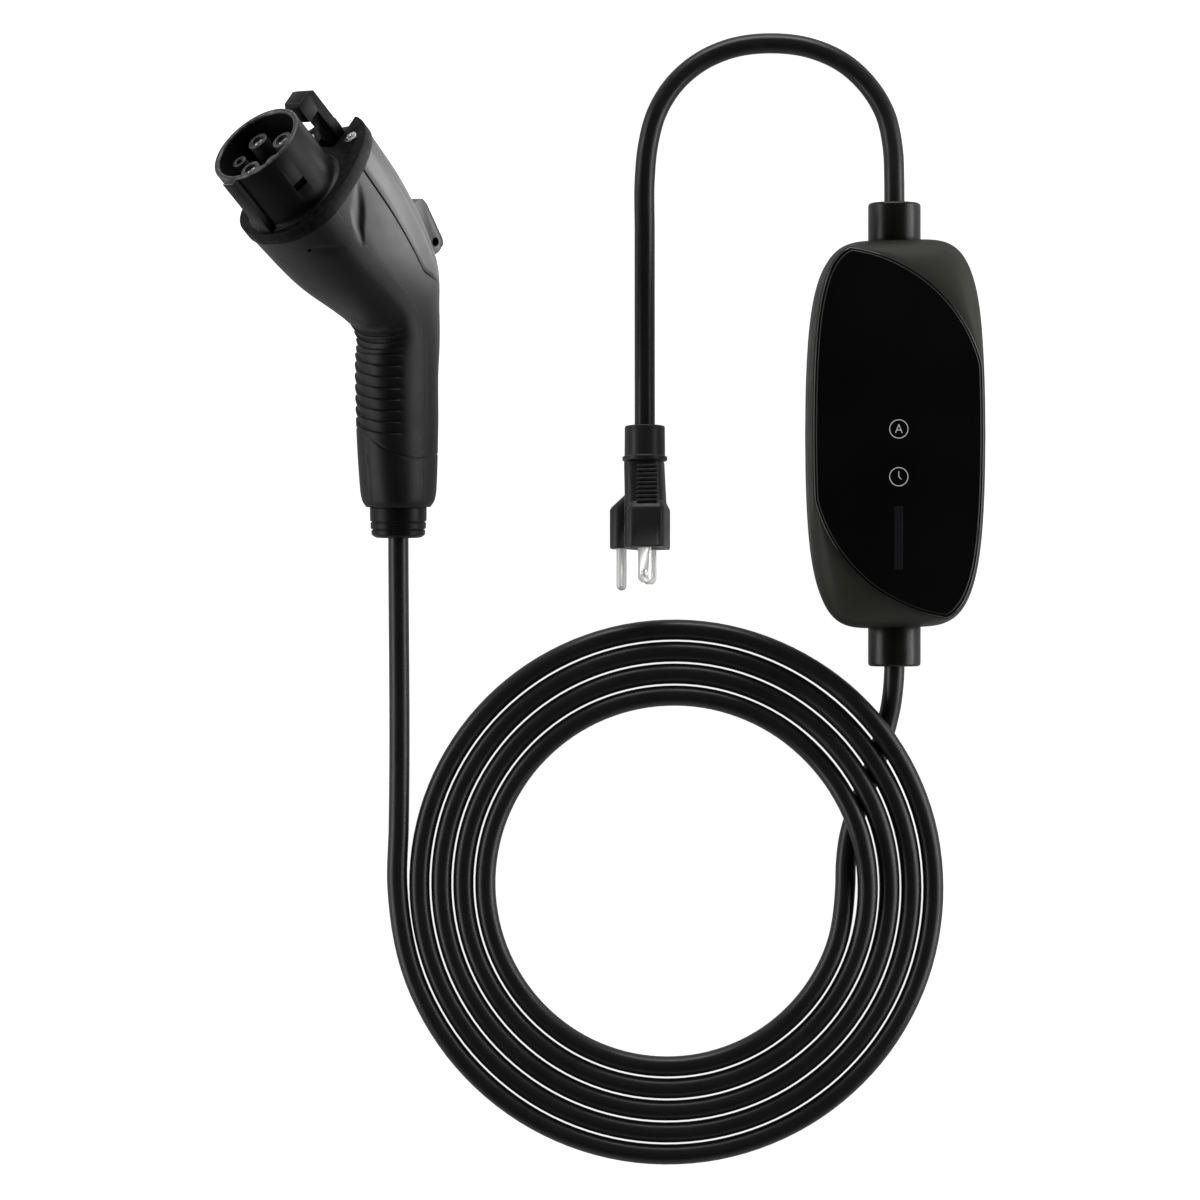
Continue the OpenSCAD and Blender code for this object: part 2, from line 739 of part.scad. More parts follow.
module shell_seal() {
    inset = (box_wall - seal_w) / 2;
    color(black_ink)
        difference() {
            linear_extrude(height = seal_t)
                polygon(outline(inset));
            translate([0, 0, -over])
                linear_extrude(height = seal_t + 2 * over)
                    polygon(outline(inset + seal_w));
            translate([0, 0, -back_top]) sleeve_seats();
        }
}

module glass_panel() {
    color("#060606")
        loft([
            lifted(leaf(glass_inset), seat_h),
            lifted(leaf(glass_inset), glass_top - glass_chamfer),
            lifted(leaf(glass_inset + glass_chamfer), glass_top)
        ]);
}

module light_guide() {
    color("#303233")
        translate([-guide_w / 2, -guide_y - guide_l / 2, seat_h - box_wall])
            cube([guide_w, guide_l, box_wall]);
}

module touch_board() {
    color("darkgreen")
        translate([-touch_board_w / 2, -touch_board_l / 2, touch_z])
            cube([touch_board_w, touch_board_l, touch_board_t]);
}

module main_board() {
    color("darkgreen")
        translate([-board_w / 2, -board_l / 2, board_z])
            cube([board_w, board_l, board_t]);
}

module power_relays() {
    color("royalblue")
        for (side = [-1, 1])
            translate([side * (relay_w / 2 + 3) - relay_w / 2, 2, board_top])
                cube([relay_w, relay_l, relay_h]);
}

module transformer() {
    color("goldenrod")
        translate([-transformer_w / 2, -transformer_l - 14, board_top])
            cube([transformer_w, transformer_l, transformer_h]);
}

module capacitors() {
    color("dimgray")
        for (side = [-1, 1])
            translate([side * (capacitor_d / 2 + 3), 12 - board_l / 2, board_top])
                cylinder(d = capacitor_d, h = capacitor_h);
}

module fault_sensor() {
    color("black")
        translate([0, board_l / 2 - 16, board_top + sensor_d / 2])
            rotate([90, 0, 0])
                difference() {
                    cylinder(d = sensor_d, h = sensor_t, center = true);
                    cylinder(d = sensor_hole_d, h = sensor_t + 2 * over, center = true);
                }
}

module shell_screws() {
    color(metal_ink)
        at_corners(screw_x, screw_y)
            translate([0, 0, 0.5]) {
                cylinder(d = screw_head_d, h = screw_head_h);
                translate([0, 0, screw_head_h - 0.1]) cylinder(d = screw_d, h = screw_l + 0.1);
            }
}

// Sleeve that grips a cord in the end of the box, standing out along +Z
module sleeve() {
    r = sleeve_d / 2;
    neck = sleeve_neck_d / 2;
    inside = box_wall + 1.6;
    color(box_ink)
        rotate_extrude()
            polygon(concat(
                [[cord_r + slip, -inside], [neck, -inside], [neck, 0], [r, 0]],
                [for (a = [0:15:90])
                    [r - sleeve_round * (1 - cos(a)), sleeve_l - sleeve_round * (1 - sin(a))]],
                [[cord_r + slip, sleeve_l]]
            ));
}

module top_sleeve() {
    translate([0, half_l - sleeve_seat, joint_h]) rotate([-90, 0, 0]) sleeve();
}

module bottom_sleeve() {
    rotate([0, 0, 180]) top_sleeve();
}

module finger_shell() {
    lift = grip_seam / 2;
    color(grip_ink)
        place_gun()
            skin(
                [for (row = finger_rows) [for (t = finger_turns)
                    skin_point(row[0], t, row[1] * rib_depth * pow(max(sin(t), 0), 0.6), lift)]],
                [for (row = finger_rows) [for (t = finger_turns) skin_point(row[0], t, grip_wall, lift)]]
            );
}

// Space for the button through the palm side
module button_hole(gap) {
    swing = gap + 1.9;
    place_button()
        translate([-button_w / 2 - gap, -2 * button_foot, -button_l / 2 - swing])
            cube([button_w + 2 * gap, 5 * button_foot, button_l + swing + gap]);
}

module palm_shell() {
    drop = -grip_seam / 2;
    color(grip_ink)
        difference() {
            place_gun()
                skin(
                    [for (row = palm_rows) [for (t = palm_turns)
                        skin_point(row[0], t[0], row[1] * t[1] * strip_t, drop)]],
                    [for (row = palm_rows) [for (t = palm_turns) skin_point(row[0], t[0], grip_wall, drop)]]
                );
            button_hole(button_gap);
        }
}

module palm_strip() {
    drop = -grip_seam / 2;
    color("#232424")
        difference() {
            place_gun()
                skin(
                    [for (s = strip_rows) [for (t = strip_turns) skin_point(s, t, 0, drop)]],
                    [for (s = strip_rows) [for (t = strip_turns) skin_point(s, t, strip_t - 0.1, drop)]]
                );
            button_hole(button_gap);
        }
}

module cord_collar() {
    r = collar_d / 2;
    shank = butt_side - butt_draw - grip_wall - 0.2;
    g = collar_groove;
    color(black_ink)
        place_gun()
            rotate([-90, 0, 0])
                rotate_extrude()
                    polygon([
                        [cord_r + slip, 0], [r - 3, 0], [r - 1, 1.2], [r - 1, 3],
                        [r - 1 - g, 3.4], [r - 1 - g, 4.4],
                        [r - 0.4, 4.8], [r - 0.4, 8], [r - 0.4 - g, 8.4], [r - 0.4 - g, 9.4], [r, 9.8],
                        [r, collar_l - 0.1], [shank, collar_l - 0.1], [shank, collar_l + collar_shank_l],
                        [cord_r + slip, collar_l + collar_shank_l]
                    ]);
}

module nose_barrel() {
    r = barrel_r;
    color(black_ink)
        place_nose()
            difference() {
                union() {
                    rotate_extrude()
                        polygon(concat(
                            [[0, carrier_z - barrel_floor], [0, carrier_z], [barrel_inner_r, carrier_z]],
                            [[barrel_inner_r, -0.8], [barrel_inner_r + 0.6, 0], [r - 0.5, 0], [r, -0.5]],
                            [for (a = [0:15:90])
                                [r + flare * (1 - cos(a)), flange_front_z + flare * (1 - sin(a))]],
                            [[r + flare, flange_front_z], [r - 0.4, flange_front_z],
                            [r - 0.4, flange_back_z]],
                            [[barrel_inner_r, flange_back_z], [barrel_inner_r, carrier_z - barrel_floor]]
                        ));
                    translate([-key_w / 2, -r - key_h, flange_front_z])
                        cube([key_w, key_h + barrel_wall - 0.6, barrel_l]);
                }
                for (side = [-90 - window_a, 90 + window_a])
                    rotate([0, 0, side])
                        translate([-window_w / 2, r - 1.4, -window_z - window_l / 2])
                            cube([window_w, 4, window_l]);
            }
}

module flange_collar() {
    lug_x = lug_gap / 2;
    floor_y = hinge_pos_y - 12;
    depth = hinge_z + hinge_d + 4;
    color(black_ink)
        place_nose()
            difference() {
                union() {
                    translate([0, 0, flange_back_z])
                        linear_extrude(height = flange_t)
                            polygon(flange_ring(flange_lip));
                    for (side = [-1, 1])
                        translate([side * (lug_x + lug_t / 2) - lug_t / 2, floor_y, flange_back_z - depth])
                            cube([lug_t, 12 + hinge_d, depth + 0.5]);
                    translate([-lug_x - lug_t, floor_y, flange_back_z - depth])
                        cube([lug_gap + 2 * lug_t, 2, depth + 0.5]);
                }
                translate([0, 0, flange_back_z - over])
                    cylinder(r = barrel_r - 0.4 + slip, h = flange_t + 2 * over);
                translate([-latch_slot_w / 2, hinge_pos_y - 6, flange_back_z - over])
                    cube([latch_slot_w, 30, flange_t + 2 * over]);
                translate([-lug_x - lug_t - over, hinge_pos_y, hinge_pos_z])
                    rotate([0, 90, 0])
                        cylinder(d = hinge_d, h = lug_gap + 2 * lug_t + 2 * over);
                for (side = [-1, 1])
                    translate([side * flange_screw_x, flange_screw_y, flange_back_z - over]) {
                        cylinder(d = flange_screw_d + 0.1, h = flange_t + 2 * over);
                        translate([0, 0, over + flange_t - 1])
                            cylinder(d = flange_screw_head_d + 2 * slip, h = 4);
                    }
            }
}

// Places of the power and ground contacts, and of the signal contacts
power_places = [[-power_span / 2, power_y], [power_span / 2, power_y], [0, -ground_y]];
signal_places = [[-signal_span / 2, -signal_y], [signal_span / 2, -signal_y]];
contact_front_z = -shroud_z - 1.5;
carrier_top_z = carrier_z + carrier_t;

module contact_carrier() {
    color(black_ink)
        place_nose()
            difference() {
                translate([0, 0, carrier_z]) cylinder(r = barrel_inner_r - slip, h = carrier_t);
                for (p = power_places)
                    translate([p[0], p[1], carrier_z + 1]) cylinder(d = power_d + 2 * slip, h = carrier_t);
                for (p = signal_places)
                    translate([p[0], p[1], carrier_z + 1]) cylinder(d = signal_d + 2 * slip, h = carrier_t);
            }
}

module shroud(contact_d) {
    translate([0, 0, carrier_top_z])
        difference() {
            cylinder(d = contact_d + 2 * slip + 2 * shroud_wall, h = -shroud_z - carrier_top_z);
            translate([0, 0, -over])
                cylinder(d = contact_d + 2 * slip, h = -shroud_z - carrier_top_z + 2 * over);
        }
}

module contact_shrouds() {
    color("#202020")
        place_nose() {
            for (p = power_places) translate([p[0], p[1], 0]) shroud(power_d);
            for (p = signal_places) translate([p[0], p[1], 0]) shroud(signal_d);
        }
}

module contact(contact_d, bore_d) {
    color("#c8a860")
        difference() {
            translate([0, 0, carrier_z + 1]) cylinder(d = contact_d, h = contact_front_z - carrier_z - 1);
            translate([0, 0, contact_front_z - bore_l]) cylinder(d = bore_d, h = bore_l + over);
        }
}

module power_contacts() {
    place_nose()
        for (p = power_places) translate([p[0], p[1], 0]) contact(power_d, power_bore_d);
}

module signal_contacts() {
    place_nose()
        for (p = signal_places) translate([p[0], p[1], 0]) contact(signal_d, signal_bore_d);
}

// Side view of the latch lever: distance along the nose, height over the barrel's axis
latch_top = latch_y + latch_t;
function button_point(z, y) = [
    button_pos_z + z * cos(button_slope) - y * sin(button_slope),
    button_pos_y + z * sin(button_slope) + y * cos(button_slope)
];
latch_side = [
    [-hook_z - 2, latch_top], [-hook_z, latch_top - 2.5], [-hook_z, latch_y - hook_drop + 2],
    [-hook_z - 2.5, latch_y - hook_drop], [-hook_z - hook_l, latch_y - hook_drop],
    [-hook_z - hook_l, latch_y], [hinge_pos_z + 8, latch_y], [hinge_pos_z + 3, hinge_pos_y - 4],
    [hinge_pos_z - 4, hinge_pos_y - 4.4], button_point(button_l / 2 - 4, -button_foot - 4.5),
    button_point(-button_l / 2, -button_foot - 3.5), button_point(-button_l / 2, -button_foot),
    button_point(button_l / 2, -button_foot),
    [hinge_pos_z - 3, latch_top + 0.6], [hinge_pos_z + 4, latch_top + 0.6], [flange_front_z, latch_top]
];

module latch_lever() {
    color(black_ink)
        place_nose()
            difference() {
                translate([-latch_w / 2, 0, 0])
                    rotate([0, -90, 180])
                        linear_extrude(height = latch_w)
                            polygon([for (p = latch_side) [p[0], -p[1]]]);
                translate([-latch_w / 2 - over, hinge_pos_y, hinge_pos_z])
                    rotate([0, 90, 0])
                        cylinder(d = hinge_d + 2 * hinge_gap, h = latch_w + 2 * over);
            }
}

module thumb_button() {
    half = button_l / 2;
    color(grip_ink)
        place_button()
            difference() {
                translate([-button_w / 2, 0, 0])
                    rotate([0, -90, 180])
                        linear_extrude(height = button_w)
                            polygon([
                                [half, button_foot], [half, 3 - button_h], [half - 1, 1.2 - button_h],
                                [half - 4, -button_h], [4 - half, -button_h - 1], [1.5 - half, -button_h],
                                [-half, 4 - button_h], [-half, button_foot]
                            ]);
                translate([-button_w / 2 - over, button_h - 4, 5 - half])
                    rotate([0, 90, 0])
                        cylinder(d = lock_hole_d, h = button_w + 2 * over);
            }
}

module latch_pin() {
    color(metal_ink)
        place_nose()
            translate([-lug_gap / 2 - lug_t, hinge_pos_y, hinge_pos_z])
                rotate([0, 90, 0])
                    cylinder(d = hinge_d, h = lug_gap + 2 * lug_t);
}

module latch_spring() {
    start = latch_w / 2 + spring_wire;
    steps = 12;
    pitch = spring_wire + 0.15;
    coil = [
        for (k = [0:spring_turns * steps])
            let (a = 360 * k / steps)
                [start + pitch * k / steps, hinge_pos_y - spring_r * cos(a), hinge_pos_z + spring_r * sin(a)]
    ];
    color(metal_ink)
        place_nose()
            tube(coil, spring_wire / 2, 6, [1, 0, 0]);
}

module latch_switch() {
    floor_y = hinge_pos_y - 10;
    color("#303030")
        place_nose()
            translate([-3, floor_y, flange_back_z - hinge_z - hinge_d])
                cube([6, 4.6, 12]);
}

module flange_screws() {
    color(metal_ink)
        place_nose()
            for (side = [-1, 1])
                translate([side * flange_screw_x, flange_screw_y, flange_front_z - 1]) {
                    cylinder(d = flange_screw_head_d, h = 1.6);
                    translate([0, 0, -flange_t + 1]) cylinder(d = flange_screw_d, h = flange_t - 0.9);
                }
}

// Front view of the plug's face: block round the blades, lobe round the ground pin
module plug_face() {
    left = blade_x + 9.4 - plug_block_d;
    lobe_x = blade_x - ground_pin_y;
    round_r = 3;
    translate([left + round_r, -plug_block_w / 2 + round_r])
        square([plug_block_d - 2 * round_r, plug_block_w - 2 * round_r]);
    for (x = [left + round_r, left + plug_block_d - round_r], y = [-1, 1])
        translate([x, y * (plug_block_w / 2 - round_r)]) circle(r = round_r);
    translate([left, -plug_block_w / 2 + round_r]) square([plug_block_d, plug_block_w - 2 * round_r]);
    translate([left + round_r, -plug_block_w / 2]) square([plug_block_d - 2 * round_r, plug_block_w]);
    translate([lobe_x, 0]) circle(r = plug_lobe_r);
    translate([lobe_x, -plug_lobe_r]) square([ground_pin_y, 2 * plug_lobe_r]);
}

module plug_body() {
    lobe_x = blade_x - ground_pin_y;
    body_top = -plug_front_l - plug_body_l;
    rib_n = 9;
    rib_step = 2;
    color(black_ink)
        place_plug()
            difference() {
                union() {
                    translate([0, 0, -plug_front_l]) linear_extrude(height = plug_front_l) plug_face();
                    hull() {
                        translate([0, 0, -plug_front_l])
                            linear_extrude(height = 0.5)
                                translate([-6.2, -9.6]) square([15.6, 19.2]);
                        translate([0, 0, body_top])
                            linear_extrude(height = 0.5)
                                translate([-7, -8]) square([15.2, 16]);
                    }
                    hull() {
                        translate([lobe_x, 0, -plug_front_l]) cylinder(r = plug_lobe_r, h = 0.5, $fn = 32);
                        translate([-4, 0, -plug_front_l - 7])
                            cylinder(r = plug_lobe_r - 1, h = 0.5, $fn = 32);
                    }
                    translate([0, 0, body_top - 1.8]) cylinder(d = plug_sleeve_d + 2.2, h = 2);
                    translate([0, 0, body_top - plug_sleeve_l - 1.8])
                        cylinder(d = plug_sleeve_d, h = plug_sleeve_l);
                    for (k = [0:rib_n - 1], side = [-1, 1])
                        translate([-1, side * 8.6 - 0.8, -plug_front_l - 3.4 - k * rib_step])
                            cube([9, 1.6, 1.1]);
                }
                translate([0, 0, -prong_root]) {
                    for (side = [-1, 1])
                        translate([blade_x - blade_w / 2, side * blade_span / 2 - blade_t / 2, 0])
                            cube([blade_w, blade_t, prong_root + over]);
                    translate([lobe_x, 0, 0])
                        cylinder(d = ground_pin_d + 2 * pin_step, h = prong_root + over);
                }
                translate([0, 0, body_top - plug_sleeve_l - 1.8 - over])
                    cylinder(r = cord_r + slip, h = plug_sleeve_l);
            }
}

module plug_blades() {
    tip = 1.6;
    color(metal_ink)
        place_plug()
            for (side = [-1, 1])
                translate([blade_x, side * blade_span / 2 + blade_t / 2, 0])
                    rotate([90, 0, 0])
                        linear_extrude(height = blade_t)
                            difference() {
                                polygon([
                                    [-blade_w / 2, -prong_root], [blade_w / 2, -prong_root],
                                    [blade_w / 2, blade_l - tip], [blade_w / 2 - tip, blade_l],
                                    [tip - blade_w / 2, blade_l], [-blade_w / 2, blade_l - tip]
                                ]);
                                translate([0, blade_l - 4.4]) circle(d = blade_hole_d);
                            }
}

module ground_pin() {
    r = ground_pin_d / 2;
    color(metal_ink)
        place_plug()
            translate([blade_x - ground_pin_y, 0, -prong_root])
                rotate_extrude()
                    polygon(concat(
                        [[0, 0], [r + pin_step, 0], [r + pin_step, prong_root], [r, prong_root]],
                        [for (a = [0:15:75]) [r * cos(a), prong_root + ground_pin_l - r + r * sin(a)]],
                        [[0, prong_root + ground_pin_l]]
                    ));
}

module supply_cord() {
    color(black_ink) tube(supply_route, cord_r, 12);
}

module grip_cord() {
    color(black_ink) tube(grip_route, cord_r, 12);
}

module box_cord() {
    color(black_ink) tube(box_route, cord_r, 12);
}

module cord_coil() {
    inner = coil_r - coil_pitch * coil_turns;
    color(black_ink)
        translate([coil_centre[0], coil_centre[1], 0])
            rotate_extrude($fn = 96) {
                translate([inner, 0]) square([coil_r - inner, cord_d]);
                for (r = [inner, coil_r])
                    translate([r, cord_r]) circle(r = cord_r, $fn = 24);
            }
}

back_shell();
front_shell();
translate([0, 0, back_top]) shell_seal();
glass_panel();
light_guide();
touch_board();
main_board();
power_relays();
transformer();
capacitors();
fault_sensor();
shell_screws();
top_sleeve();
bottom_sleeve();
finger_shell();
palm_shell();
palm_strip();
cord_collar();
nose_barrel();
flange_collar();
contact_carrier();
contact_shrouds();
power_contacts();
signal_contacts();
latch_lever();
thumb_button();
latch_pin();
latch_spring();
latch_switch();
flange_screws();
plug_body();
plug_blades();
ground_pin();
supply_cord();
grip_cord();
cord_coil();
box_cord();
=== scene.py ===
import math
import bmesh
import bpy
import numpy as np
from mathutils import Matrix, Vector


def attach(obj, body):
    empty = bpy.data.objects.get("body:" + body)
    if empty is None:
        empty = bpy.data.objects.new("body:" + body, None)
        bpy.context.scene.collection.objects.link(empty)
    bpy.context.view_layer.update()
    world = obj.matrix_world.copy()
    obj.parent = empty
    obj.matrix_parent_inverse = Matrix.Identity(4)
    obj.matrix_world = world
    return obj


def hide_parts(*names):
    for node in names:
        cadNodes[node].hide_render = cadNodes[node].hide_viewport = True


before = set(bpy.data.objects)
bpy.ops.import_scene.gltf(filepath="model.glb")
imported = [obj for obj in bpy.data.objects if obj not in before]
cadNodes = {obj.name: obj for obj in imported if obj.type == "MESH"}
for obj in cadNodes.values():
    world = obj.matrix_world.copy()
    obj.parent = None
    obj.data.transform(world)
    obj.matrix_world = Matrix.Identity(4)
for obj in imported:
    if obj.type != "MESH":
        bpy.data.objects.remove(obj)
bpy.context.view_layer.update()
scene = bpy.context.scene
mm = 0.001
print("frame:", len(cadNodes), "nodes")


# Small helpers

def turned(degrees, axis):
    return np.array(Matrix.Rotation(math.radians(degrees), 3, axis))


def signedPower(v, e):
    return np.sign(v) * np.abs(v) ** e


def smoothStep(low, high, v):
    f = np.clip((v - low) / (high - low), 0, 1)
    return f * f * (3 - 2 * f)


def hermite(keys, values, slopes, at):  # smooth curve through rows of key values
    i = np.clip(np.searchsorted(keys, at, side="right") - 1, 0, len(keys) - 2)
    w = (keys[i + 1] - keys[i])[..., None]
    f = (at - keys[i])[..., None] / w
    g = 1 - f
    return (values[i] * g * g * (1 + 2 * f) + values[i + 1] * f * f * (3 - 2 * f)
            + slopes[i] * w * f * g * g - slopes[i + 1] * w * g * f * f)


def addObject(name, data):
    thing = bpy.data.objects.new(name, data)
    scene.collection.objects.link(thing)
    return thing


def smooth(data, sharp):
    data.polygons.foreach_set("use_smooth", [True] * len(data.polygons))
    if sharp:
        data.set_sharp_from_angle(angle=math.radians(sharp))


def finishMesh(name, data, material, sharp):
    data.validate()
    smooth(data, sharp)
    data.materials.clear()
    if material:
        data.materials.append(material)
    return addObject(name, data)


def meshObject(name, points, faces, material=None, sharp=0):
    data = bpy.data.meshes.new(name)
    data.from_pydata([tuple(p) for p in np.asarray(points, float) * mm], [], faces)
    return finishMesh(name, data, material, sharp)


def bakeDown(thing):  # evaluated object to a plain mesh, modifiers gone
    graph = bpy.context.evaluated_depsgraph_get()
    data = bpy.data.meshes.new_from_object(thing.evaluated_get(graph))
    thing.modifiers.clear()
    old = thing.data
    thing.data = data
    bpy.data.meshes.remove(old)
    return thing


def cutAway(thing, cutters, sharp):  # boolean cuts, applied at once
    for tool in cutters:
        cut = thing.modifiers.new("cut", "BOOLEAN")
        cut.operation, cut.solver, cut.object = "DIFFERENCE", "EXACT", tool
        bpy.context.view_layer.update()
        bakeDown(thing)
        bpy.data.objects.remove(tool)
    thing.data.set_sharp_from_angle(angle=math.radians(sharp))


def rework(data, merge=0, flat=0, turnOut=False):  # doubles merged, flat edges dissolved, faces turned out
    work = bmesh.new()
    work.from_mesh(data)
    if merge:
        bmesh.ops.remove_doubles(work, verts=work.verts, dist=merge)
    if flat:
        bmesh.ops.dissolve_limit(work, angle_limit=math.radians(flat), verts=work.verts, edges=work.edges)
    if turnOut:
        bmesh.ops.recalc_face_normals(work, faces=work.faces)
    work.to_mesh(data)
    work.free()


def keep(thing, slot, *nodes, body="charger"):  # its slot (not used), the solids it stands for, the body it rides on
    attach(thing, body)
    if nodes:
        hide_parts(*nodes)


def lifted(ring, z):
    return np.column_stack([ring, np.full(len(ring), z)])


def stackFaces(rings, count, closeEnds=True):
    faces = []
    for k in range(rings - 1):
        for i in range(count):
            j = (i + 1) % count
            faces.append((k * count + i, k * count + j, (k + 1) * count + j, (k + 1) * count + i))
    if closeEnds:
        faces.append(tuple(range(count))[::-1])
        faces.append(tuple((rings - 1) * count + i for i in range(count)))
    return faces


def shellFaces(rows, cols):  # outer grid then inner grid, closed at all four edges
    half = rows * cols
    faces = []
    for a in (k * cols + i for k in range(rows - 1) for i in range(cols - 1)):
        b = half + a
        faces += [(a, a + 1, a + cols + 1, a + cols), (b, b + cols, b + cols + 1, b + 1)]
    for a in range(0, half - cols, cols):
        b = a + cols - 1
        faces += [(a, a + cols, half + a + cols, half + a), (b, half + b, half + b + cols, b + cols)]
    for a in range(cols - 1):
        b = half - cols + a
        faces += [(a, half + a, half + a + 1, a + 1), (b, b + 1, half + b + 1, half + b)]
    return faces


def turnAngles(count):
    return np.arange(count) * 2 * math.pi / count


def spun(profile, count):  # revolved rings round local Z, profile as (radius, height)
    a = turnAngles(count)
    return [np.stack([r * np.cos(a), r * np.sin(a), np.full(count, z)], -1) for r, z in profile]


def superRound(count, corner):  # unit outline from a circle (2) towards a square, counted from +X
    t, e = turnAngles(count), 2 / corner
    return signedPower(np.cos(t), e), signedPower(np.sin(t), e)


def softCorner(points, radius, steps=4, share=0.45):  # rounds the corners of an open (r, z) profile
    points = [np.array(p, float) for p in points]
    out = [points[0]]
    for k in range(1, len(points) - 1):
        p, a, b = points[k], points[k - 1] - points[k], points[k + 1] - points[k]
        la, lb = np.linalg.norm(a), np.linalg.norm(b)
        r = min(radius, la * share, lb * share)
        p0, p1 = p + a / la * r, p + b / lb * r
        for i in range(steps + 1):
            f = i / steps
            out.append(p0 * (1 - f) ** 2 + 2 * p * f * (1 - f) + p1 * f * f)
    out.append(points[-1])
    return out


# Nodes and their links

def fill(node, values):
    for label, value in values.items():
        node.inputs[label].default_value = value


def newNode(tree, kind, values=None):
    node = tree.nodes.new(kind)
    fill(node, values or {})
    return node


def link(output, node, label):  # into the node's input of that name, in the tree that both are in
    output.id_data.links.new(output, node.inputs[label])


def newMaterial(name):
    material = bpy.data.materials.new(name)
    material.use_nodes = True
    return material, material.node_tree, material.node_tree.nodes["Principled BSDF"]


def tone(value):  # a single number is a grey
    return (*value, 1) if isinstance(value, tuple) else (value, value, value, 1)


def noiseOf(coord, scale, detail, stretch=None):
    tree = coord.id_data
    if stretch:
        mapping = newNode(tree, "ShaderNodeMapping", {"Scale": stretch})
        link(coord, mapping, "Vector")
        coord = mapping.outputs["Vector"]
    node = newNode(tree, "ShaderNodeTexNoise", {"Scale": scale, "Detail": detail})
    link(coord, node, "Vector")
    return node.outputs["Fac"]


def ranged(value, low, high, toLow, toHigh):
    node = newNode(value.id_data, "ShaderNodeMapRange",
                   {"From Min": low, "From Max": high, "To Min": toLow, "To Max": toHigh})
    link(value, node, "Value")
    return node.outputs["Result"]


def mixed(factor, a, b):  # from colour a to colour b, each a constant or a node's output
    node = newNode(factor.id_data, "ShaderNodeMix")
    node.data_type = "RGBA"
    link(factor, node, "Factor")
    for label, value in (("A", a), ("B", b)):
        if isinstance(value, tuple):
            fill(node, {label: value})
        else:
            link(value, node, label)
    return node.outputs["Result"]


# Camera and lights

cameraSet = {"over": (-0.1345, -0.0755), "height": 2.0, "frameWidth": 0.552, "sensor": 36, "clipEnd": 50}
lampSet = [  # place from the middle of the view, height of the aim, size, power
    ("sideBox", (-1.0, 0, 0.34), 0, (1.5, 0.5), 4.8), ("lowBox", (-1.25, 0, 0.17), 0.02, (1.4, 0.2), 0.8),
    ("farBox", (0, -1.4, 0.3), 0, (1.2, 0.5), 0.6), ("sideBox", (1.0, 0, 0.34), 0, (1.5, 0.5), 4.6),
    ("lowBox", (1.25, 0, 0.17), 0.02, (1.4, 0.2), 3.0), ("farBox", (0, 1.4, 0.3), 0, (1.2, 0.5), 8.0)]
neckSet = {"place": (-0.16, 0.115, 0.034), "aim": (-0.25, 0.1, 0.045), "size": (0.09, 0.05), "power": 0.09}
prongSet = {"place": (-0.112, -0.063, 0.5), "cone": 4.2, "blend": 0.6, "soft": 0.01, "power": 3.4}
skySet = {"power": 0.08, "ramp": ((0.1, 1), (0.82, 0.03))}

cameraData = bpy.data.cameras.new("camera")
cameraData.sensor_width = cameraSet["sensor"]
cameraData.lens = cameraSet["sensor"] * cameraSet["height"] / cameraSet["frameWidth"]
cameraData.clip_end = cameraSet["clipEnd"]
camera = addObject("camera", cameraData)
camera.location = (*cameraSet["over"], cameraSet["height"])
scene.camera = camera
scene.view_settings.view_transform = "Standard"
scene.view_settings.look = "None"


def softBox(name, place, aim, size, power):
    data = bpy.data.lights.new(name, "AREA")
    data.shape, data.size, data.size_y = "RECTANGLE", *size
    data.energy = power
    lamp = addObject(name, data)
    lamp.location = place
    lamp.rotation_euler = (Vector(aim) - Vector(place)).to_track_quat("-Z", "Y").to_euler()
    return lamp


midX, midY = cameraSet["over"]
for name, (x, y, z), aimZ, size, power in lampSet:
    softBox(name, (midX + x, midY + y, z), (midX, midY, aimZ), size, power)
softBox("neckBox", **neckSet).visible_camera = False
prongData = bpy.data.lights.new("prongSpot", "SPOT")
prongData.energy, prongData.shadow_soft_size = prongSet["power"], prongSet["soft"]
prongData.spot_size, prongData.spot_blend = math.radians(prongSet["cone"]), prongSet["blend"]
addObject("prongSpot", prongData).location = prongSet["place"]

world = bpy.data.worlds.new("studio")
scene.world = world
world.use_nodes = True
sky = world.node_tree
skyBack = sky.nodes["Background"]
skyCoord, skySplit, skyRamp = (newNode(sky, "ShaderNode" + kind) for kind in ("TexCoord", "SeparateXYZ", "ValToRGB"))
link(skyCoord.outputs["Generated"], skySplit, 0)
link(skySplit.outputs["Z"], skyRamp, "Fac")
for stop, (height, grey) in zip(skyRamp.color_ramp.elements, skySet["ramp"]):
    stop.position, stop.color = height, tone(grey)
link(skyRamp.outputs["Color"], skyBack, "Color")
fill(skyBack, {"Strength": skySet["power"]})

floorSet = {"half": 6, "drop": 0.0004, "grey": 0.93, "rough": 0.9, "specular": 0.1, "glow": (0.22, 0.95)}
floorMaterial, floorTree, floorShader = newMaterial("paleFloor")
fill(floorShader, {"Base Color": tone(floorSet["grey"]), "Roughness": floorSet["rough"],
                   "Emission Color": tone(1), "Specular IOR Level": floorSet["specular"]})
floorPath = newNode(floorTree, "ShaderNodeLightPath")
link(ranged(floorPath.outputs["Is Camera Ray"], 0, 1, *floorSet["glow"]), floorShader, "Emission Strength")
floorData = bpy.data.meshes.new("floor")
floorData.from_pydata([(x * floorSet["half"], y * floorSet["half"], -floorSet["drop"])
                       for x, y in ((-1, -1), (1, -1), (1, 1), (-1, 1))], [], [(0, 1, 2, 3)])
floorData.materials.append(floorMaterial)
addObject("floor", floorData)
print("camera, floor and light set")
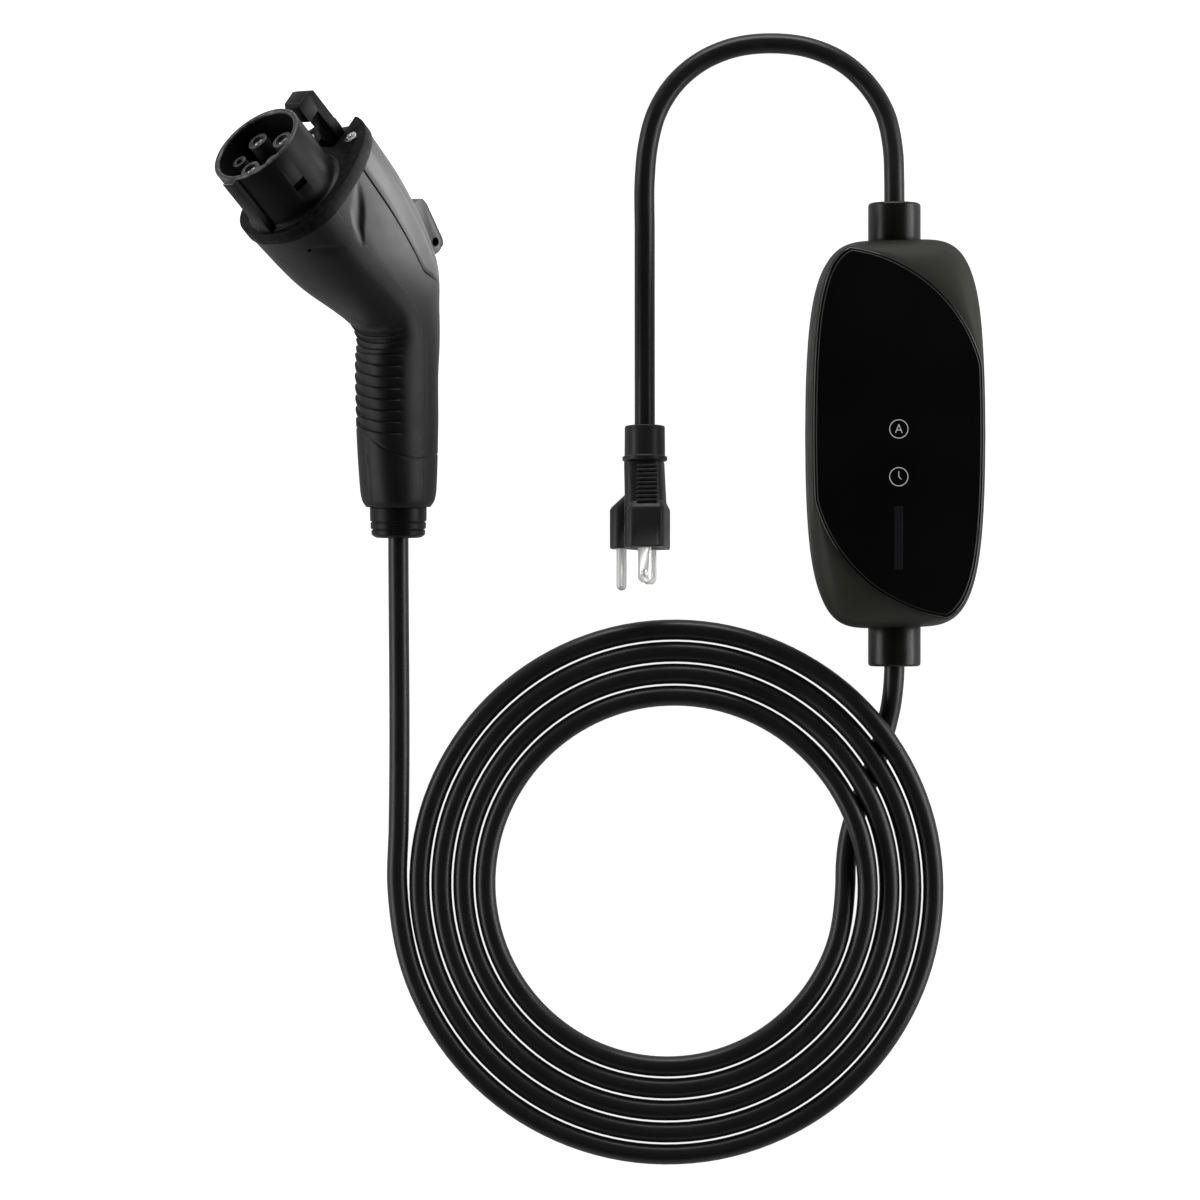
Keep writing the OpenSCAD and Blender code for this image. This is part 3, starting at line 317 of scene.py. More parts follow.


# Finishes: two tones in a soft cloud, patchy roughness, fine grain, edge tint that is partly rubbed wear and partly
# painted highlight

finishSet = {"cloudDetail": 4, "cloudSpan": (0.3, 0.7), "grainDetail": 2, "roughScale": 140, "roughDetail": 5,
             "roughSpan": (0.25, 0.75), "bevelSamples": 4, "wearAndHighlightScale": 320, "wearAndHighlightDetail": 3,
             "wearAndHighlightSpan": (0.35, 0.65), "wearAndHighlightLeast": 0.25, "wallSpan": (0.2, 0.62)}


def finish(name, base, other, rough, roughSpread=0.06, grain=1800, grainDepth=0.00004, grainPower=0.35,
           edge=None, edgeRadius=0.0004, edgeRange=(0.99, 0.86), specular=0.5, metallic=0.0, cloud=26,
           coat=0.0, stretch=None, glow=0.0, sideShade=None):
    material, tree, shader = newMaterial(name)
    coord = newNode(tree, "ShaderNodeTexCoord").outputs["Object"]
    cloudy = noiseOf(coord, cloud, finishSet["cloudDetail"])
    tint = mixed(ranged(cloudy, *finishSet["cloudSpan"], 0, 1), tone(base), tone(other))
    patchy = noiseOf(coord, finishSet["roughScale"], finishSet["roughDetail"], stretch)
    link(ranged(patchy, *finishSet["roughSpan"], rough - roughSpread, rough + roughSpread), shader, "Roughness")
    rounded = newNode(tree, "ShaderNodeBevel", {"Radius": edgeRadius})
    rounded.samples = finishSet["bevelSamples"]
    bump = newNode(tree, "ShaderNodeBump", {"Strength": grainPower, "Distance": grainDepth})
    link(noiseOf(coord, grain, finishSet["grainDetail"], stretch), bump, "Height")
    link(rounded.outputs["Normal"], bump, "Normal")
    link(bump.outputs["Normal"], shader, "Normal")
    if edge:  # edge tint where the rounded normal leaves the true one: partly rubbed wear, partly painted highlight
        dot, wearAndHighlight = newNode(tree, "ShaderNodeVectorMath"), newNode(tree, "ShaderNodeMath")
        dot.operation, wearAndHighlight.operation = "DOT_PRODUCT", "MULTIPLY"
        link(rounded.outputs["Normal"], dot, 0)
        link(newNode(tree, "ShaderNodeNewGeometry").outputs["Normal"], dot, 1)
        link(ranged(dot.outputs["Value"], *edgeRange, 0, 1), wearAndHighlight, 0)
        uneven = noiseOf(coord, finishSet["wearAndHighlightScale"], finishSet["wearAndHighlightDetail"])
        link(ranged(uneven, *finishSet["wearAndHighlightSpan"], finishSet["wearAndHighlightLeast"], 1), wearAndHighlight, 1)
        tint = mixed(wearAndHighlight.outputs["Value"], tint, tone(edge))
    if sideShade:  # upright walls darker than what faces up
        height = newNode(tree, "ShaderNodeSeparateXYZ")
        link(newNode(tree, "ShaderNodeNewGeometry").outputs["Normal"], height, 0)
        tint = mixed(ranged(height.outputs["Z"], *finishSet["wallSpan"], 0, 1), tone(sideShade), tint)
    link(tint, shader, "Base Color")
    fill(shader, {"Metallic": metallic, "Specular IOR Level": specular, "Coat Weight": coat,
                  "Emission Color": tone(1), "Emission Strength": glow})
    return material


fineGrain = {"grain": 2600, "grainDepth": 0.00003}
noseGrain = {"grain": 2400, "grainDepth": 0.00003}
boxPlastic = finish("boxPlastic", (0.064, 0.065, 0.056), (0.073, 0.074, 0.065), 0.4, 0.05, **fineGrain,
                    edge=(0.12, 0.12, 0.11), specular=0.1, sideShade=(0.019, 0.0195, 0.017))
sleevePlastic = finish("sleevePlastic", (0.012, 0.0123, 0.0105), (0.016, 0.0163, 0.014), 0.3, 0.04,
                       **fineGrain, edge=(0.1, 0.1, 0.09))
gripPlastic = finish("gripPlastic", 0.012, 0.0155, 0.44, 0.05, grain=2400, edge=0.09, specular=0.3)
stripPlastic = finish("stripPlastic", 0.036, 0.045, 0.38, 0.05, **fineGrain, edge=0.12, specular=0.35)
nosePlastic = finish("nosePlastic", 0.009, 0.012, 0.36, **noseGrain, edge=0.1, specular=0.2)
# the barrel mouth's rim: its bright edge tint is painted highlight
rimHighlightPlastic = finish("rimHighlightPlastic", 0.004, 0.006, 0.3, **noseGrain, edge=0.85, edgeRadius=0.0007,
                    edgeRange=(0.998, 0.94))
flangePlastic = finish("flangePlastic", 0.0008, 0.013, 0.55, 0.1, grain=1500, grainDepth=0.00012,
                       grainPower=0.7, edge=0.1, specular=0.1, cloud=420)
latchPlastic = finish("latchPlastic", 0.006, 0.011, 0.4, 0.08, grain=1700, grainDepth=0.00008, grainPower=0.5,
                      edge=0.3, edgeRadius=0.0006, edgeRange=(0.995, 0.92), specular=0.16)
# the glass's two-tone cloud is painted faint reflection
panelGlass = finish("panelGlass", 0.005, (0.01, 0.01, 0.0105), 0.07, 0.02, grain=90, grainDepth=0.00001,
                    grainPower=0.04, edgeRadius=0.0002, cloud=14, coat=0.6)
# lighter grey on the glass's step faces is a painted reflection of its bevel
stepReflection = finish("stepReflection", (0.02, 0.02, 0.017), (0.028, 0.028, 0.024), 0.5, 0.05, grain=4000)
# the print's glow is painted light
printInk = finish("printInk", 0.72, 0.8, 0.5, 0.05, grain=4000, glow=0.2)
guidePlastic = finish("guidePlastic", (0.016, 0.016, 0.02), (0.026, 0.026, 0.032), 0.4, 0.02, grainPower=0.1,
                      specular=0.2)
# the light edge tint on the shroud rims is painted highlight
shroudPlastic = finish("shroudPlastic", 0.035, 0.05, 0.35, 0.05, edge=0.7, edgeRange=(0.995, 0.92))
# near-black, matt, dull finish in the barrel's window pockets is painted shade
pocketShade = finish("pocketShade", 0.001, 0.0015, 0.85, 0.05, specular=0.05)
buttonPlastic = finish("buttonPlastic", 0.012, 0.016, 0.34, 0.05, edge=0.1, specular=0.35)
cordRubber = finish("cordRubber", (0.019, 0.019, 0.0195), (0.024, 0.024, 0.0245), 0.32, 0.05, **fineGrain,
                    cloud=60)
plugRubber = finish("plugRubber", 0.018, 0.024, 0.4, 0.07, grain=1600, grainDepth=0.00006, grainPower=0.4,
                    edge=0.34, edgeRange=(0.995, 0.9))
prongMetal = finish("prongMetal", (0.86, 0.86, 0.85), (0.93, 0.93, 0.92), 0.36, grain=900, grainDepth=0.00002,
                    edge=(0.92, 0.92, 0.9), metallic=0.3, stretch=(1, 0.04, 1))
contactMetal = finish("contactMetal", (0.62, 0.6, 0.55), (0.74, 0.72, 0.66), 0.24, 0.08, grain=1500,
                      grainDepth=0.00002, edge=(0.95, 0.94, 0.9), metallic=1.0)
screwSteel = finish("screwSteel", 0.6, 0.72, 0.28, 0.08, grain=2200, grainDepth=0.00003, edge=0.9, metallic=1.0)
sealRubber = finish("sealRubber", 0.006, 0.009, 0.6, 0.05)
boardGreen = finish("boardGreen", (0.01, 0.07, 0.03), (0.015, 0.1, 0.045), 0.35, 0.08, grain=900)
relayBlue = finish("relayBlue", (0.03, 0.07, 0.3), (0.04, 0.09, 0.36), 0.45)
tapeYellow = finish("tapeYellow", (0.55, 0.38, 0.05), (0.66, 0.47, 0.08), 0.4)
canSleeve = finish("canSleeve", (0.05, 0.05, 0.06), (0.07, 0.07, 0.08), 0.35)
print("finishes made")


# Cords: the routes repeat the part's own, in millimetres

cordSet = {"diameter": 9.2, "fullness": 0.08, "lie": 4.6, "smoothness": 7, "slack": 1.004,
           "coilCentre": (-102.0, -207.0), "coilRadius": 125.5, "coilPitch": 10.1, "coilTurns": 4.5,
           "pointsPerTurn": 18, "startAngle": 180, "hump": 9.5, "humpHalf": 38, "humpsUntil": 4.2,
           "outerFrom": 114, "outerHump": 1.2, "crossRadii": (88, 99, 109, 119), "crossAngles": (19.5, 26.5, 31, 35)}


def cordCurve(name, points):
    points = np.asarray(points, float)
    last = len(points) - 1
    data = bpy.data.curves.new(name, "CURVE")
    data.dimensions, data.resolution_u = "3D", cordSet["smoothness"]
    data.bevel_depth = (cordSet["diameter"] / 2 + cordSet["fullness"]) * mm
    data.bevel_resolution, data.use_fill_caps = cordSet["smoothness"], True
    spline = data.splines.new("BEZIER")
    spline.bezier_points.add(last)
    gaps = np.linalg.norm(np.diff(points, axis=0), axis=1)
    for k, p in enumerate(points):
        a, b = points[max(k - 1, 0)], points[min(k + 1, last)]
        way = b - a
        if 0 < k < last:  # weighted so that uneven spacing stays smooth
            way = (p - a) / gaps[k - 1] * gaps[k] + (b - p) / gaps[k] * gaps[k - 1]
        way /= np.linalg.norm(way)
        knot = spline.bezier_points[k]
        knot.handle_left_type = knot.handle_right_type = "FREE"
        knot.co = p * mm
        before, after = p - way * gaps[max(k - 1, 0)] / 3, p + way * gaps[min(k, last - 1)] / 3
        before[2] = max(before[2], min(p[2], a[2]))  # no dip below the table beside a rise
        after[2] = max(after[2], min(p[2], b[2]))
        knot.handle_left, knot.handle_right = before * mm, after * mm
    data.materials.append(cordRubber)
    return addObject(name, data)


def coilPoint(turns):  # strands rise where the lead passes under them
    angle = cordSet["startAngle"] + 360 * turns
    radius = cordSet["coilRadius"] - cordSet["coilPitch"] * turns
    crossing = np.interp(radius, cordSet["crossRadii"], cordSet["crossAngles"])
    away = abs((angle - crossing + 180) % 360 - 180)
    rise = cordSet["hump"] + cordSet["outerHump"] * (radius > cordSet["outerFrom"])
    height = rise * 0.5 * (1 + math.cos(math.pi * min(away / cordSet["humpHalf"], 1)))
    if turns > cordSet["humpsUntil"]:
        height = 0
    x, y = cordSet["coilCentre"]
    return (x + radius * math.cos(math.radians(angle)), y + radius * math.sin(math.radians(angle)),
            cordSet["lie"] + height)


supplyRoute = [
    (0, 99, 13.5), (0, 107, 13.4), (0, 117, 12.3), (-0.5, 132, 9), (-4, 148, 6.2), (-11.4, 160.5, 4.9),
    (-22, 170.5, 4.6), (-37, 177.5, 4.6), (-56, 180, 4.6), (-75, 177.5, 4.6), (-90, 170.5, 4.6),
    (-101, 160.5, 4.6), (-108.5, 148, 4.6), (-112.5, 133, 4.6), (-114, 117, 4.6), (-114, 94.9, 4.6),
    (-114, 74.9, 4.6), (-114, 54.9, 5), (-114, 39.9, 6.1), (-114, 26.9, 7.4), (-114, 14.9, 8.6),
    (-114, 3.9, 9.34), (-114, -3.9, 9.9)]
gripRoute = [
    (-226.5, -40, 16.75), (-226.5, -48, 16.3), (-226.5, -60, 15.3), (-226.5, -80, 12.4), (-226.5, -105, 8.4),
    (-226.5, -130, 5.7), (-226.6, -155, 4.7), (-226.9, -180, 4.6)]
leadRoute = [
    (-21.7, -197, 4.6), (-20.3, -185, 4.6), (-15, -167.5, 4.6), (-8.4, -151, 4.7), (-3.9, -136, 5.8),
    (-1.3, -124, 8.8), (-0.6, -118, 10.8), (-0.2, -112, 12.6), (0, -106.5, 13.4), (0, -99, 13.5)]
coilSteps = int(cordSet["coilTurns"] * cordSet["pointsPerTurn"])
coilRoute = [coilPoint(k / cordSet["pointsPerTurn"]) for k in range(coilSteps + 1)]
chargeRoute = gripRoute + coilRoute + leadRoute
supplyCord, chargeCord = cordCurve("supplyCord", supplyRoute), cordCurve("chargeCord", chargeRoute)
keep(supplyCord, "cord_rubber", "supply_cord")
keep(chargeCord, "cord_rubber", "grip_cord", "cord_coil", "box_cord")


# Control box

boxSet = {"width": 81.0, "length": 175.0, "bow": 4.6, "corner": 5, "seat": 41.0, "shoulder": 30.0, "joint": 13.5,
          "seal": 0.8, "wall": 2.4, "backRound": 5.0, "backRise": 1.3, "sides": 480, "rim": 1.7, "sharp": 32,
          "sweep": (-31.0, 13.2), "sweepRadius": 71.3, "sleeve": 24.0, "sleeveNeck": 19.0, "sleeveSeat": 2.2,
          "sleeveSlip": 0.15, "sleeveCut": (0, 12), "neckCut": (-10, 3), "screws": (28.0, 58.0),
          "headHole": 2.95, "headCut": (-1, 2.5),
          "headSides": 48, "shankHole": 1.65, "shankCut": (-1, 4), "shankSides": 32,
          "ceilingIn": 1, "shoulderIn": 0.3, "backFoot": 0.45}
glassSet = {"inset": 2.0, "rise": 2.0, "round": 0.9, "step": 0.35, "border": 3.2, "borderSlope": 0.5, "sharp": 30}


def boxOutline(inset):
    across, along = superRound(boxSet["sides"], boxSet["corner"])
    return np.stack([(boxSet["width"] / 2 - inset - boxSet["bow"] * along ** 2) * across,
                     (boxSet["length"] / 2 - inset) * along], -1)


def outlineAt(inset, z):
    return lifted(boxOutline(inset), z)


def boxLeaf(inset):  # the outline with two sweeping corners taken off
    points = boxOutline(inset)
    centre = np.array(boxSet["sweep"])
    radius = boxSet["sweepRadius"] - (inset - boxSet["rim"])
    flip = np.where(points[:, 1] > 0, 1.0, -1.0)[:, None]
    reach = np.linalg.norm(points, axis=1)
    way = points * flip / reach[:, None]
    near = way @ centre
    cut = near + np.sqrt(np.maximum(near ** 2 - centre @ centre + radius * radius, 0))
    return way * np.minimum(reach, cut)[:, None] * flip


def ringStack(name, rings, material, sharp=0):
    return meshObject(name, np.concatenate(rings), stackFaces(len(rings), len(rings[0])), material, sharp)


def cylinderTool(radius, span, turn, place, count=96):
    rings = np.concatenate(spun([(radius, z) for z in span], count)) @ turn.T + np.array(place)
    return meshObject("tool", rings, stackFaces(2, count))


def sleeveTools():
    tools = []
    for side in (-1, 1):
        turn = turned(-90 * side, "X")
        place = (0, side * (boxSet["length"] / 2 - boxSet["sleeveSeat"]), boxSet["joint"])
        for width, span in ((boxSet["sleeve"], boxSet["sleeveCut"]), (boxSet["sleeveNeck"], boxSet["neckCut"])):
            tools.append(cylinderTool(width / 2 + boxSet["sleeveSlip"], span, turn, place))
    return tools


wall, frontFoot = boxSet["wall"], boxSet["joint"] + boxSet["seal"] / 2
frontKeys = np.array([0, 3.2, 4.15, 5.0, 5.6, 6.0])
frontRows = np.array([(frontFoot, 0, 0), (30, 0, 0.3), (34.62, 0.18, 0.6), (38.58, 0.5, 0.8), (40.45, 0.8, 1.0),
                      (41, 1, 1.7)])  # height, share of the leaf outline, inset
frontSlopes = np.gradient(frontRows, frontKeys, axis=0)
leafRing = boxLeaf(boxSet["rim"])
rings = [lifted(boxLeaf(boxSet["rim"] + wall + boxSet["ceilingIn"]), boxSet["seat"] - wall),
         outlineAt(wall + boxSet["shoulderIn"], boxSet["shoulder"] - wall), outlineAt(wall, frontFoot)]
for at in np.concatenate([np.linspace(0, 3.0, 6), np.linspace(3.2, 6.0, 30)]):
    height, share, inset = hermite(frontKeys, frontRows, frontSlopes, at)
    rings.append(lifted(boxOutline(inset) * (1 - share) + leafRing * share, height))
frontShell = ringStack("frontShell", rings, boxPlastic)
cutAway(frontShell, sleeveTools(), boxSet["sharp"])

backTop, backRound = boxSet["joint"] - boxSet["seal"] / 2, boxSet["backRound"]
backRise = backRound * boxSet["backRise"]
rings = [outlineAt(backRound * boxSet["backFoot"] + wall, wall), outlineAt(wall, backRise),
         outlineAt(wall, backTop), outlineAt(0, backTop), outlineAt(0, backRise + (backTop - backRise) * 0.5)]
for a in np.radians(np.linspace(0, 90, 12)):
    rings.append(outlineAt(backRound * (1 - math.cos(a)), backRise * (1 - math.sin(a))))
backShell = ringStack("backShell", rings, boxPlastic)
screwX, screwY = boxSet["screws"]
screwPlaces = [(i * screwX, j * screwY, 0) for i in (-1, 1) for j in (-1, 1)]
tools = sleeveTools()
for place in screwPlaces:
    tools.append(cylinderTool(boxSet["headHole"], boxSet["headCut"], np.eye(3), place, boxSet["headSides"]))
    tools.append(cylinderTool(boxSet["shankHole"], boxSet["shankCut"], np.eye(3), place, boxSet["shankSides"]))
cutAway(backShell, tools, boxSet["sharp"])

glassTop = boxSet["seat"] + glassSet["rise"]
stepTop, glassRound = glassTop - glassSet["step"], glassSet["round"]
rings = [lifted(boxLeaf(glassSet["inset"]), boxSet["seat"])]
for a in np.radians(np.linspace(0, 90, 9)):
    rings.append(lifted(boxLeaf(glassSet["inset"] + glassRound * (1 - math.cos(a))),
                        stepTop - glassRound * (1 - math.sin(a))))
rings += [lifted(boxLeaf(glassSet["border"]), stepTop),
          lifted(boxLeaf(glassSet["border"] + glassSet["borderSlope"]), glassTop)]
glassPanel = ringStack("glassPanel", rings, panelGlass, glassSet["sharp"])
glassPanel.data.materials.append(stepReflection)
# the step faces get the painted bevel reflection
for face in glassPanel.data.polygons[(len(rings) - 2) * boxSet["sides"]:(len(rings) - 1) * boxSet["sides"]]:
    face.material_index = 1
keep(frontShell, "box_plastic", "front_shell")
keep(backShell, "box_plastic", "back_shell")
keep(glassPanel, "panel_glass", "glass_panel")
print("box shells and glass made")


# Signs printed on the glass: ampere ring, clock ring, status bar

signSet = {"ring": 4.3, "line": 0.36, "sides": 72, "thick": 0.03, "ampere": (0, 1.5), "clock": (0, -20.0),
           "letter": (((-1.5, -1.8), (0, 2.0)), ((1.5, -1.8), (0, 2.0)), ((-0.95, -0.5), (0.95, -0.5))),
           "hands": (((0, 0.1), (0, 2.5)), ((-0.1, 0.15), (1.15, -1.2))),
           "bar": (0, -47.5), "barSize": (3.8, 28.5), "barRound": 0.5, "barThick": 0.04, "sharp": 30}


def slab(mesh, flat, thick):  # thin plate that lies on the glass
    points, faces = mesh
    k, n = len(points), len(flat)
    points += [(*p, glassTop) for p in flat] + [(*p, glassTop + thick) for p in flat]
    faces += [tuple(range(k + n, k + 2 * n)), tuple(range(k, k + n))[::-1]]
    faces += [(k + i, k + (i + 1) % n, k + n + (i + 1) % n, k + n + i) for i in range(n)]


def stroke(mesh, a, b):
    way = b - a
    across = np.array([-way[1], way[0]]) / np.linalg.norm(way) * signSet["line"] / 2
    slab(mesh, [a - across, b - across, b + across, a + across], signSet["thick"])


def ringLine(mesh, centre):
    outer, inner = signSet["ring"], signSet["ring"] - signSet["line"]
    for i in range(signSet["sides"]):
        a, b = (2 * math.pi * (i + j) / signSet["sides"] for j in (0, 1))
        slab(mesh, [(centre[0] + q * math.cos(v), centre[1] + q * math.sin(v))
                    for q, v in ((inner, a), (outer, a), (outer, b), (inner, b))], signSet["thick"])


signMesh, barMesh = ([], []), ([], [])
for centre, strokes in ((signSet["ampere"], signSet["letter"]), (signSet["clock"], signSet["hands"])):
    ringLine(signMesh, centre)
    for a, b in strokes:
        stroke(signMesh, np.add(centre, a), np.add(centre, b))
panelSigns = meshObject("panelSigns", *signMesh, printInk, signSet["sharp"])
(barX, barY), barRound = signSet["bar"], signSet["barRound"]
halfX, halfY = (size / 2 - barRound for size in signSet["barSize"])
slab(barMesh, [(barX + i * halfX + barRound * math.cos(v), barY + j * halfY + barRound * math.sin(v))
               for i, j, start in ((1, -1, -90), (1, 1, 0), (-1, 1, 90), (-1, -1, 180))
               for v in np.radians(start + np.linspace(0, 90, 5))], signSet["barThick"])
statusBar = meshObject("statusBar", *barMesh, guidePlastic, signSet["sharp"])
for thing in (panelSigns, statusBar):
    keep(thing, "guide_plastic")
print("signs made")


# Connector shells: a skin along the bent spine, by station (mm along it) and angle (degrees round it)

gripSet = {"place": (-226.5, -47.0, 16.4), "tilt": 3, "roll": 47, "length": 83.0, "bendRadius": 32.0,
           "bendAngle": 48.0, "neck": 66.0, "collar": 14.0, "buttRound": 8.0, "wall": 2.6, "corner": 2 / 2.3,
           "seam": 0.06, "seamClimb": 12, "seamSpan": (108, 176), "columns": 85, "sharp": 45,
           "buttShare": 0.35, "swellShare": 0.45}
ribSet = {"count": 11, "start": 47.8, "pitch": 5.07, "depth": 1.15, "slant": 7.4, "middle": 137, "reach": 90,
          "sag": 2.2, "fall": 0.9, "power": 1.2, "fadeIn": (27, 50), "fadeOut": (182, 160), "over": 0.1}
trimSet = {"seam": ((50.5, 140), (49.5, 106), (46.1, 90), (42, 69), (39.3, 50), (36.9, 27), (36.2, 5),
                    (37.3, -26), (38.5, -60), (40, -90)), "seamSize": (0.5, 0.4),
           "edge": ((45.9, 91), (32.8, 92.5), (21.3, 92.5), (14, 92.5)), "edgeSize": (0.4, 0.4),
           "leaf": ((176, -11), (152.5, 13), 2.6, 1.8), "crescent": ((168.5, 61), (157.5, 28), 2.6, 0.5),
           "pin": (167.6, 61.5), "pinRadius": 0.75, "pinDepth": 1.6, "grooveScale": 0.33, "dipScale": 0.42}
bendLength = gripSet["bendRadius"] * math.radians(gripSet["bendAngle"])
heelAt = gripSet["length"] + bendLength
flangeAt = heelAt + gripSet["neck"]
buttAt = gripSet["collar"] + gripSet["buttRound"]
gripStations = np.array([gripSet["collar"], gripSet["collar"] + gripSet["buttRound"] * gripSet["buttShare"], buttAt,
                         buttAt + (gripSet["length"] - buttAt) * gripSet["swellShare"], gripSet["length"],
                         gripSet["length"] + bendLength / 2, heelAt, heelAt + gripSet["neck"] / 2, flangeAt])
gripDepths = np.array([(14.6, 14.4, 13.6), (16.26, 16.06, 15.26), (17.2, 17, 16.2), (18.2, 19.4, 16.8),
                       (18.8, 20, 17.2), (23.6, 16, 18.4), (37.4, 14.5, 20.5), (45, 22.6, 25.5),
                       (47, 25.5, 28)])  # towards the palm, towards the fingers, half the width
stationNumbers = np.arange(len(gripStations))
ahead, behind = np.minimum(stationNumbers + 1, stationNumbers[-1]), np.maximum(stationNumbers - 1, 0)
gripSlopes = (gripDepths[ahead] - gripDepths[behind]) / (gripStations[ahead] - gripStations[behind])[:, None]
gunTurn = turned(gripSet["tilt"], "X") @ turned(gripSet["roll"] - 90, "Y")
gunPlace = np.array(gripSet["place"])


def spineAt(s):  # its angle and place: along the grip, round the bend, up the neck
    a = np.radians(np.clip((s - gripSet["length"]) / bendLength, 0, 1) * gripSet["bendAngle"])
    rest = np.maximum(s - heelAt, 0)
    return (a, np.minimum(s, gripSet["length"]) + gripSet["bendRadius"] * np.sin(a) + rest * np.cos(a),
            gripSet["bendRadius"] * (1 - np.cos(a)) + rest * np.sin(a))


def skinAt(s, t, inset=0.0, shift=0.0):
    s, t = np.broadcast_arrays(np.asarray(s, float), np.asarray(t, float))
    depth = hermite(gripStations, gripDepths, gripSlopes, s)
    c, n = np.cos(np.radians(t)), np.sin(np.radians(t))
    reach = np.where(n > 0, depth[..., 1], depth[..., 0]) - inset
    a, spineY, spineZ = spineAt(s)
    x = (depth[..., 2] - inset) * signedPower(c, gripSet["corner"])
    h = reach * signedPower(n, gripSet["corner"]) + shift
    local = np.stack([x, spineY - h * np.sin(a), spineZ + h * np.cos(a)], -1)
    return local @ gunTurn.T + gunPlace


def skinSheet(name, s, t, dip, wall, shift, material):  # outer skin with its dips, inner skin at the wall
    points = [skinAt(s, t, inset, shift).reshape(-1, 3) for inset in (dip, wall)]
    return meshObject(name, np.concatenate(points), shellFaces(*t.shape), material, gripSet["sharp"])


def lineGroove(s, t, path, width, depth):  # groove along a line of (station, angle) points
    scale = trimSet["grooveScale"]
    best = np.full(np.broadcast(s, t).shape, 1e9)
    for (s0, t0), (s1, t1) in zip(path[:-1], path[1:]):
        d = np.array([s1 - s0, (t1 - t0) * scale])
        u = np.clip(((s - s0) * d[0] + (t - t0) * scale * d[1]) / (d @ d), 0, 1)
        best = np.minimum(best, np.hypot(s - s0 - u * d[0], (t - t0) * scale - u * d[1]))
    return depth * np.clip(1 - (best / width) ** 2, 0, 1)


def hollow(s, t, start, end, halfWidth, depth, fold=-0.6):  # leaf-shaped dip, steep on one side of its fold
    scale = trimSet["dipScale"]
    d = np.array([end[0] - start[0], (end[1] - start[1]) * scale])
    length = np.linalg.norm(d)
    u = ((s - start[0]) * d[0] + (t - start[1]) * scale * d[1]) / length ** 2
    off = ((s - start[0]) * d[1] - (t - start[1]) * scale * d[0]) / length
    swell = np.sqrt(np.clip(np.sin(np.pi * np.clip(u, 0, 1)), 0, 1))
    across = off / (halfWidth * swell + 1e-6)
    fall = np.where(across > fold, (1 - across) / (1 - fold), (1 + across) / (1 + fold))
    return depth * swell ** 2 * np.clip(fall, 0, 1) * ((u > 0) & (u < 1))


def leafDip(s, t):
    return hollow(s, np.where(t > 180, t - 360, t), *trimSet["leaf"])


def fingerDip(s, t):  # saw-tooth ribs that sag towards their middle, then the small trim
    across = np.abs(ribSet["middle"] - t) / ribSet["reach"]
    at = s - ribSet["slant"] * np.clip(1 - across, 0, 1) ** ribSet["sag"]
    k = (at - ribSet["start"]) / ribSet["pitch"]
    phase = k - np.floor(k)
    saw = np.where(phase < ribSet["fall"], 1 - phase / ribSet["fall"], smoothStep(ribSet["fall"], 1.0, phase))
    inside = (k > -ribSet["over"]) & (k < ribSet["count"] - ribSet["over"])
    fade = smoothStep(*ribSet["fadeIn"], t) * smoothStep(*ribSet["fadeOut"], t)
    ribs = ribSet["depth"] * saw ** ribSet["power"] * inside * fade
    seam = lineGroove(s, t, trimSet["seam"], *trimSet["seamSize"])
    edge = lineGroove(s, t, trimSet["edge"], *trimSet["edgeSize"])
    pinS, pinT = trimSet["pin"]
    pin = trimSet["pinDepth"] * (np.hypot(s - pinS, (t - pinT) * trimSet["dipScale"]) < trimSet["pinRadius"])
    return ribs + np.maximum(seam, edge) + hollow(s, t, *trimSet["crescent"]) + pin + leafDip(s, t)


def seamAngle(s):  # the joint between the two shells climbs a little on the neck
    return gripSet["seamClimb"] * smoothStep(*gripSet["seamSpan"], s)


def stations(first, *runs):  # runs of even steps up to the flange, finer where there is detail
    return np.concatenate([first, *(np.arange(*run) for run in runs), [flangeAt]])[:, None]


buttStations = np.linspace(gripSet["collar"], buttAt, 14)
s = stations(buttStations, (buttAt + 0.8, 35, 0.8), (35, 46, 0.4), (46, 108, 0.25), (109, 150, 1.0),
             (150, flangeAt, 0.5))
low = seamAngle(s)
t = low + (180 - low - low) * np.linspace(0, 1, gripSet["columns"])[None, :]
fingerShell = skinSheet("fingerShell", s, t, fingerDip(s, t), gripSet["wall"], gripSet["seam"] / 2, gripPlastic)

collarSet = {"soft": 0.5, "sides": 96, "sharp": 50, "merge": 1e-6, "profile": (
    (4.85, 22), (4.85, 0), (10.4, 0), (12.2, 1.3), (12.35, 3.3), (11.8, 3.5), (11.8, 3.9), (12.6, 4.1),
    (12.7, 6.8), (12.15, 7), (12.15, 7.4), (12.9, 7.6), (13, 13.9), (11, 13.95), (11, 22), (4.85, 22))}
collarProfile = softCorner(collarSet["profile"], collarSet["soft"])
collarRings = np.concatenate(spun(collarProfile, collarSet["sides"]))
collarRings = collarRings @ turned(-90, "X").T @ gunTurn.T + gunPlace
cordCollar = meshObject("cordCollar", collarRings, stackFaces(len(collarProfile), collarSet["sides"], False),
                        nosePlastic, collarSet["sharp"])
rework(cordCollar.data, collarSet["merge"], turnOut=True)

stripSet = {"half": 68.0, "length": 77.0, "gap": 2.0, "end": 16.0, "seat": 1.5, "under": 1.4, "edgeFall": 0.55,
            "edgeWidth": 2.4, "creaseDepth": 0.55, "creaseAt": 44, "creaseWidth": 4.0, "creaseFade": 20,
            "lipOut": 0.3, "lipIn": 0.1, "seatSlip": 0.05}
stripAt = flangeAt - stripSet["length"]


def stripReach(s):  # half angle of the strip, rounded off towards the heel
    f = np.clip((stripAt + stripSet["end"] - s) / stripSet["end"], 0, 1)
    return stripSet["half"] * np.sqrt(1 - f * f)


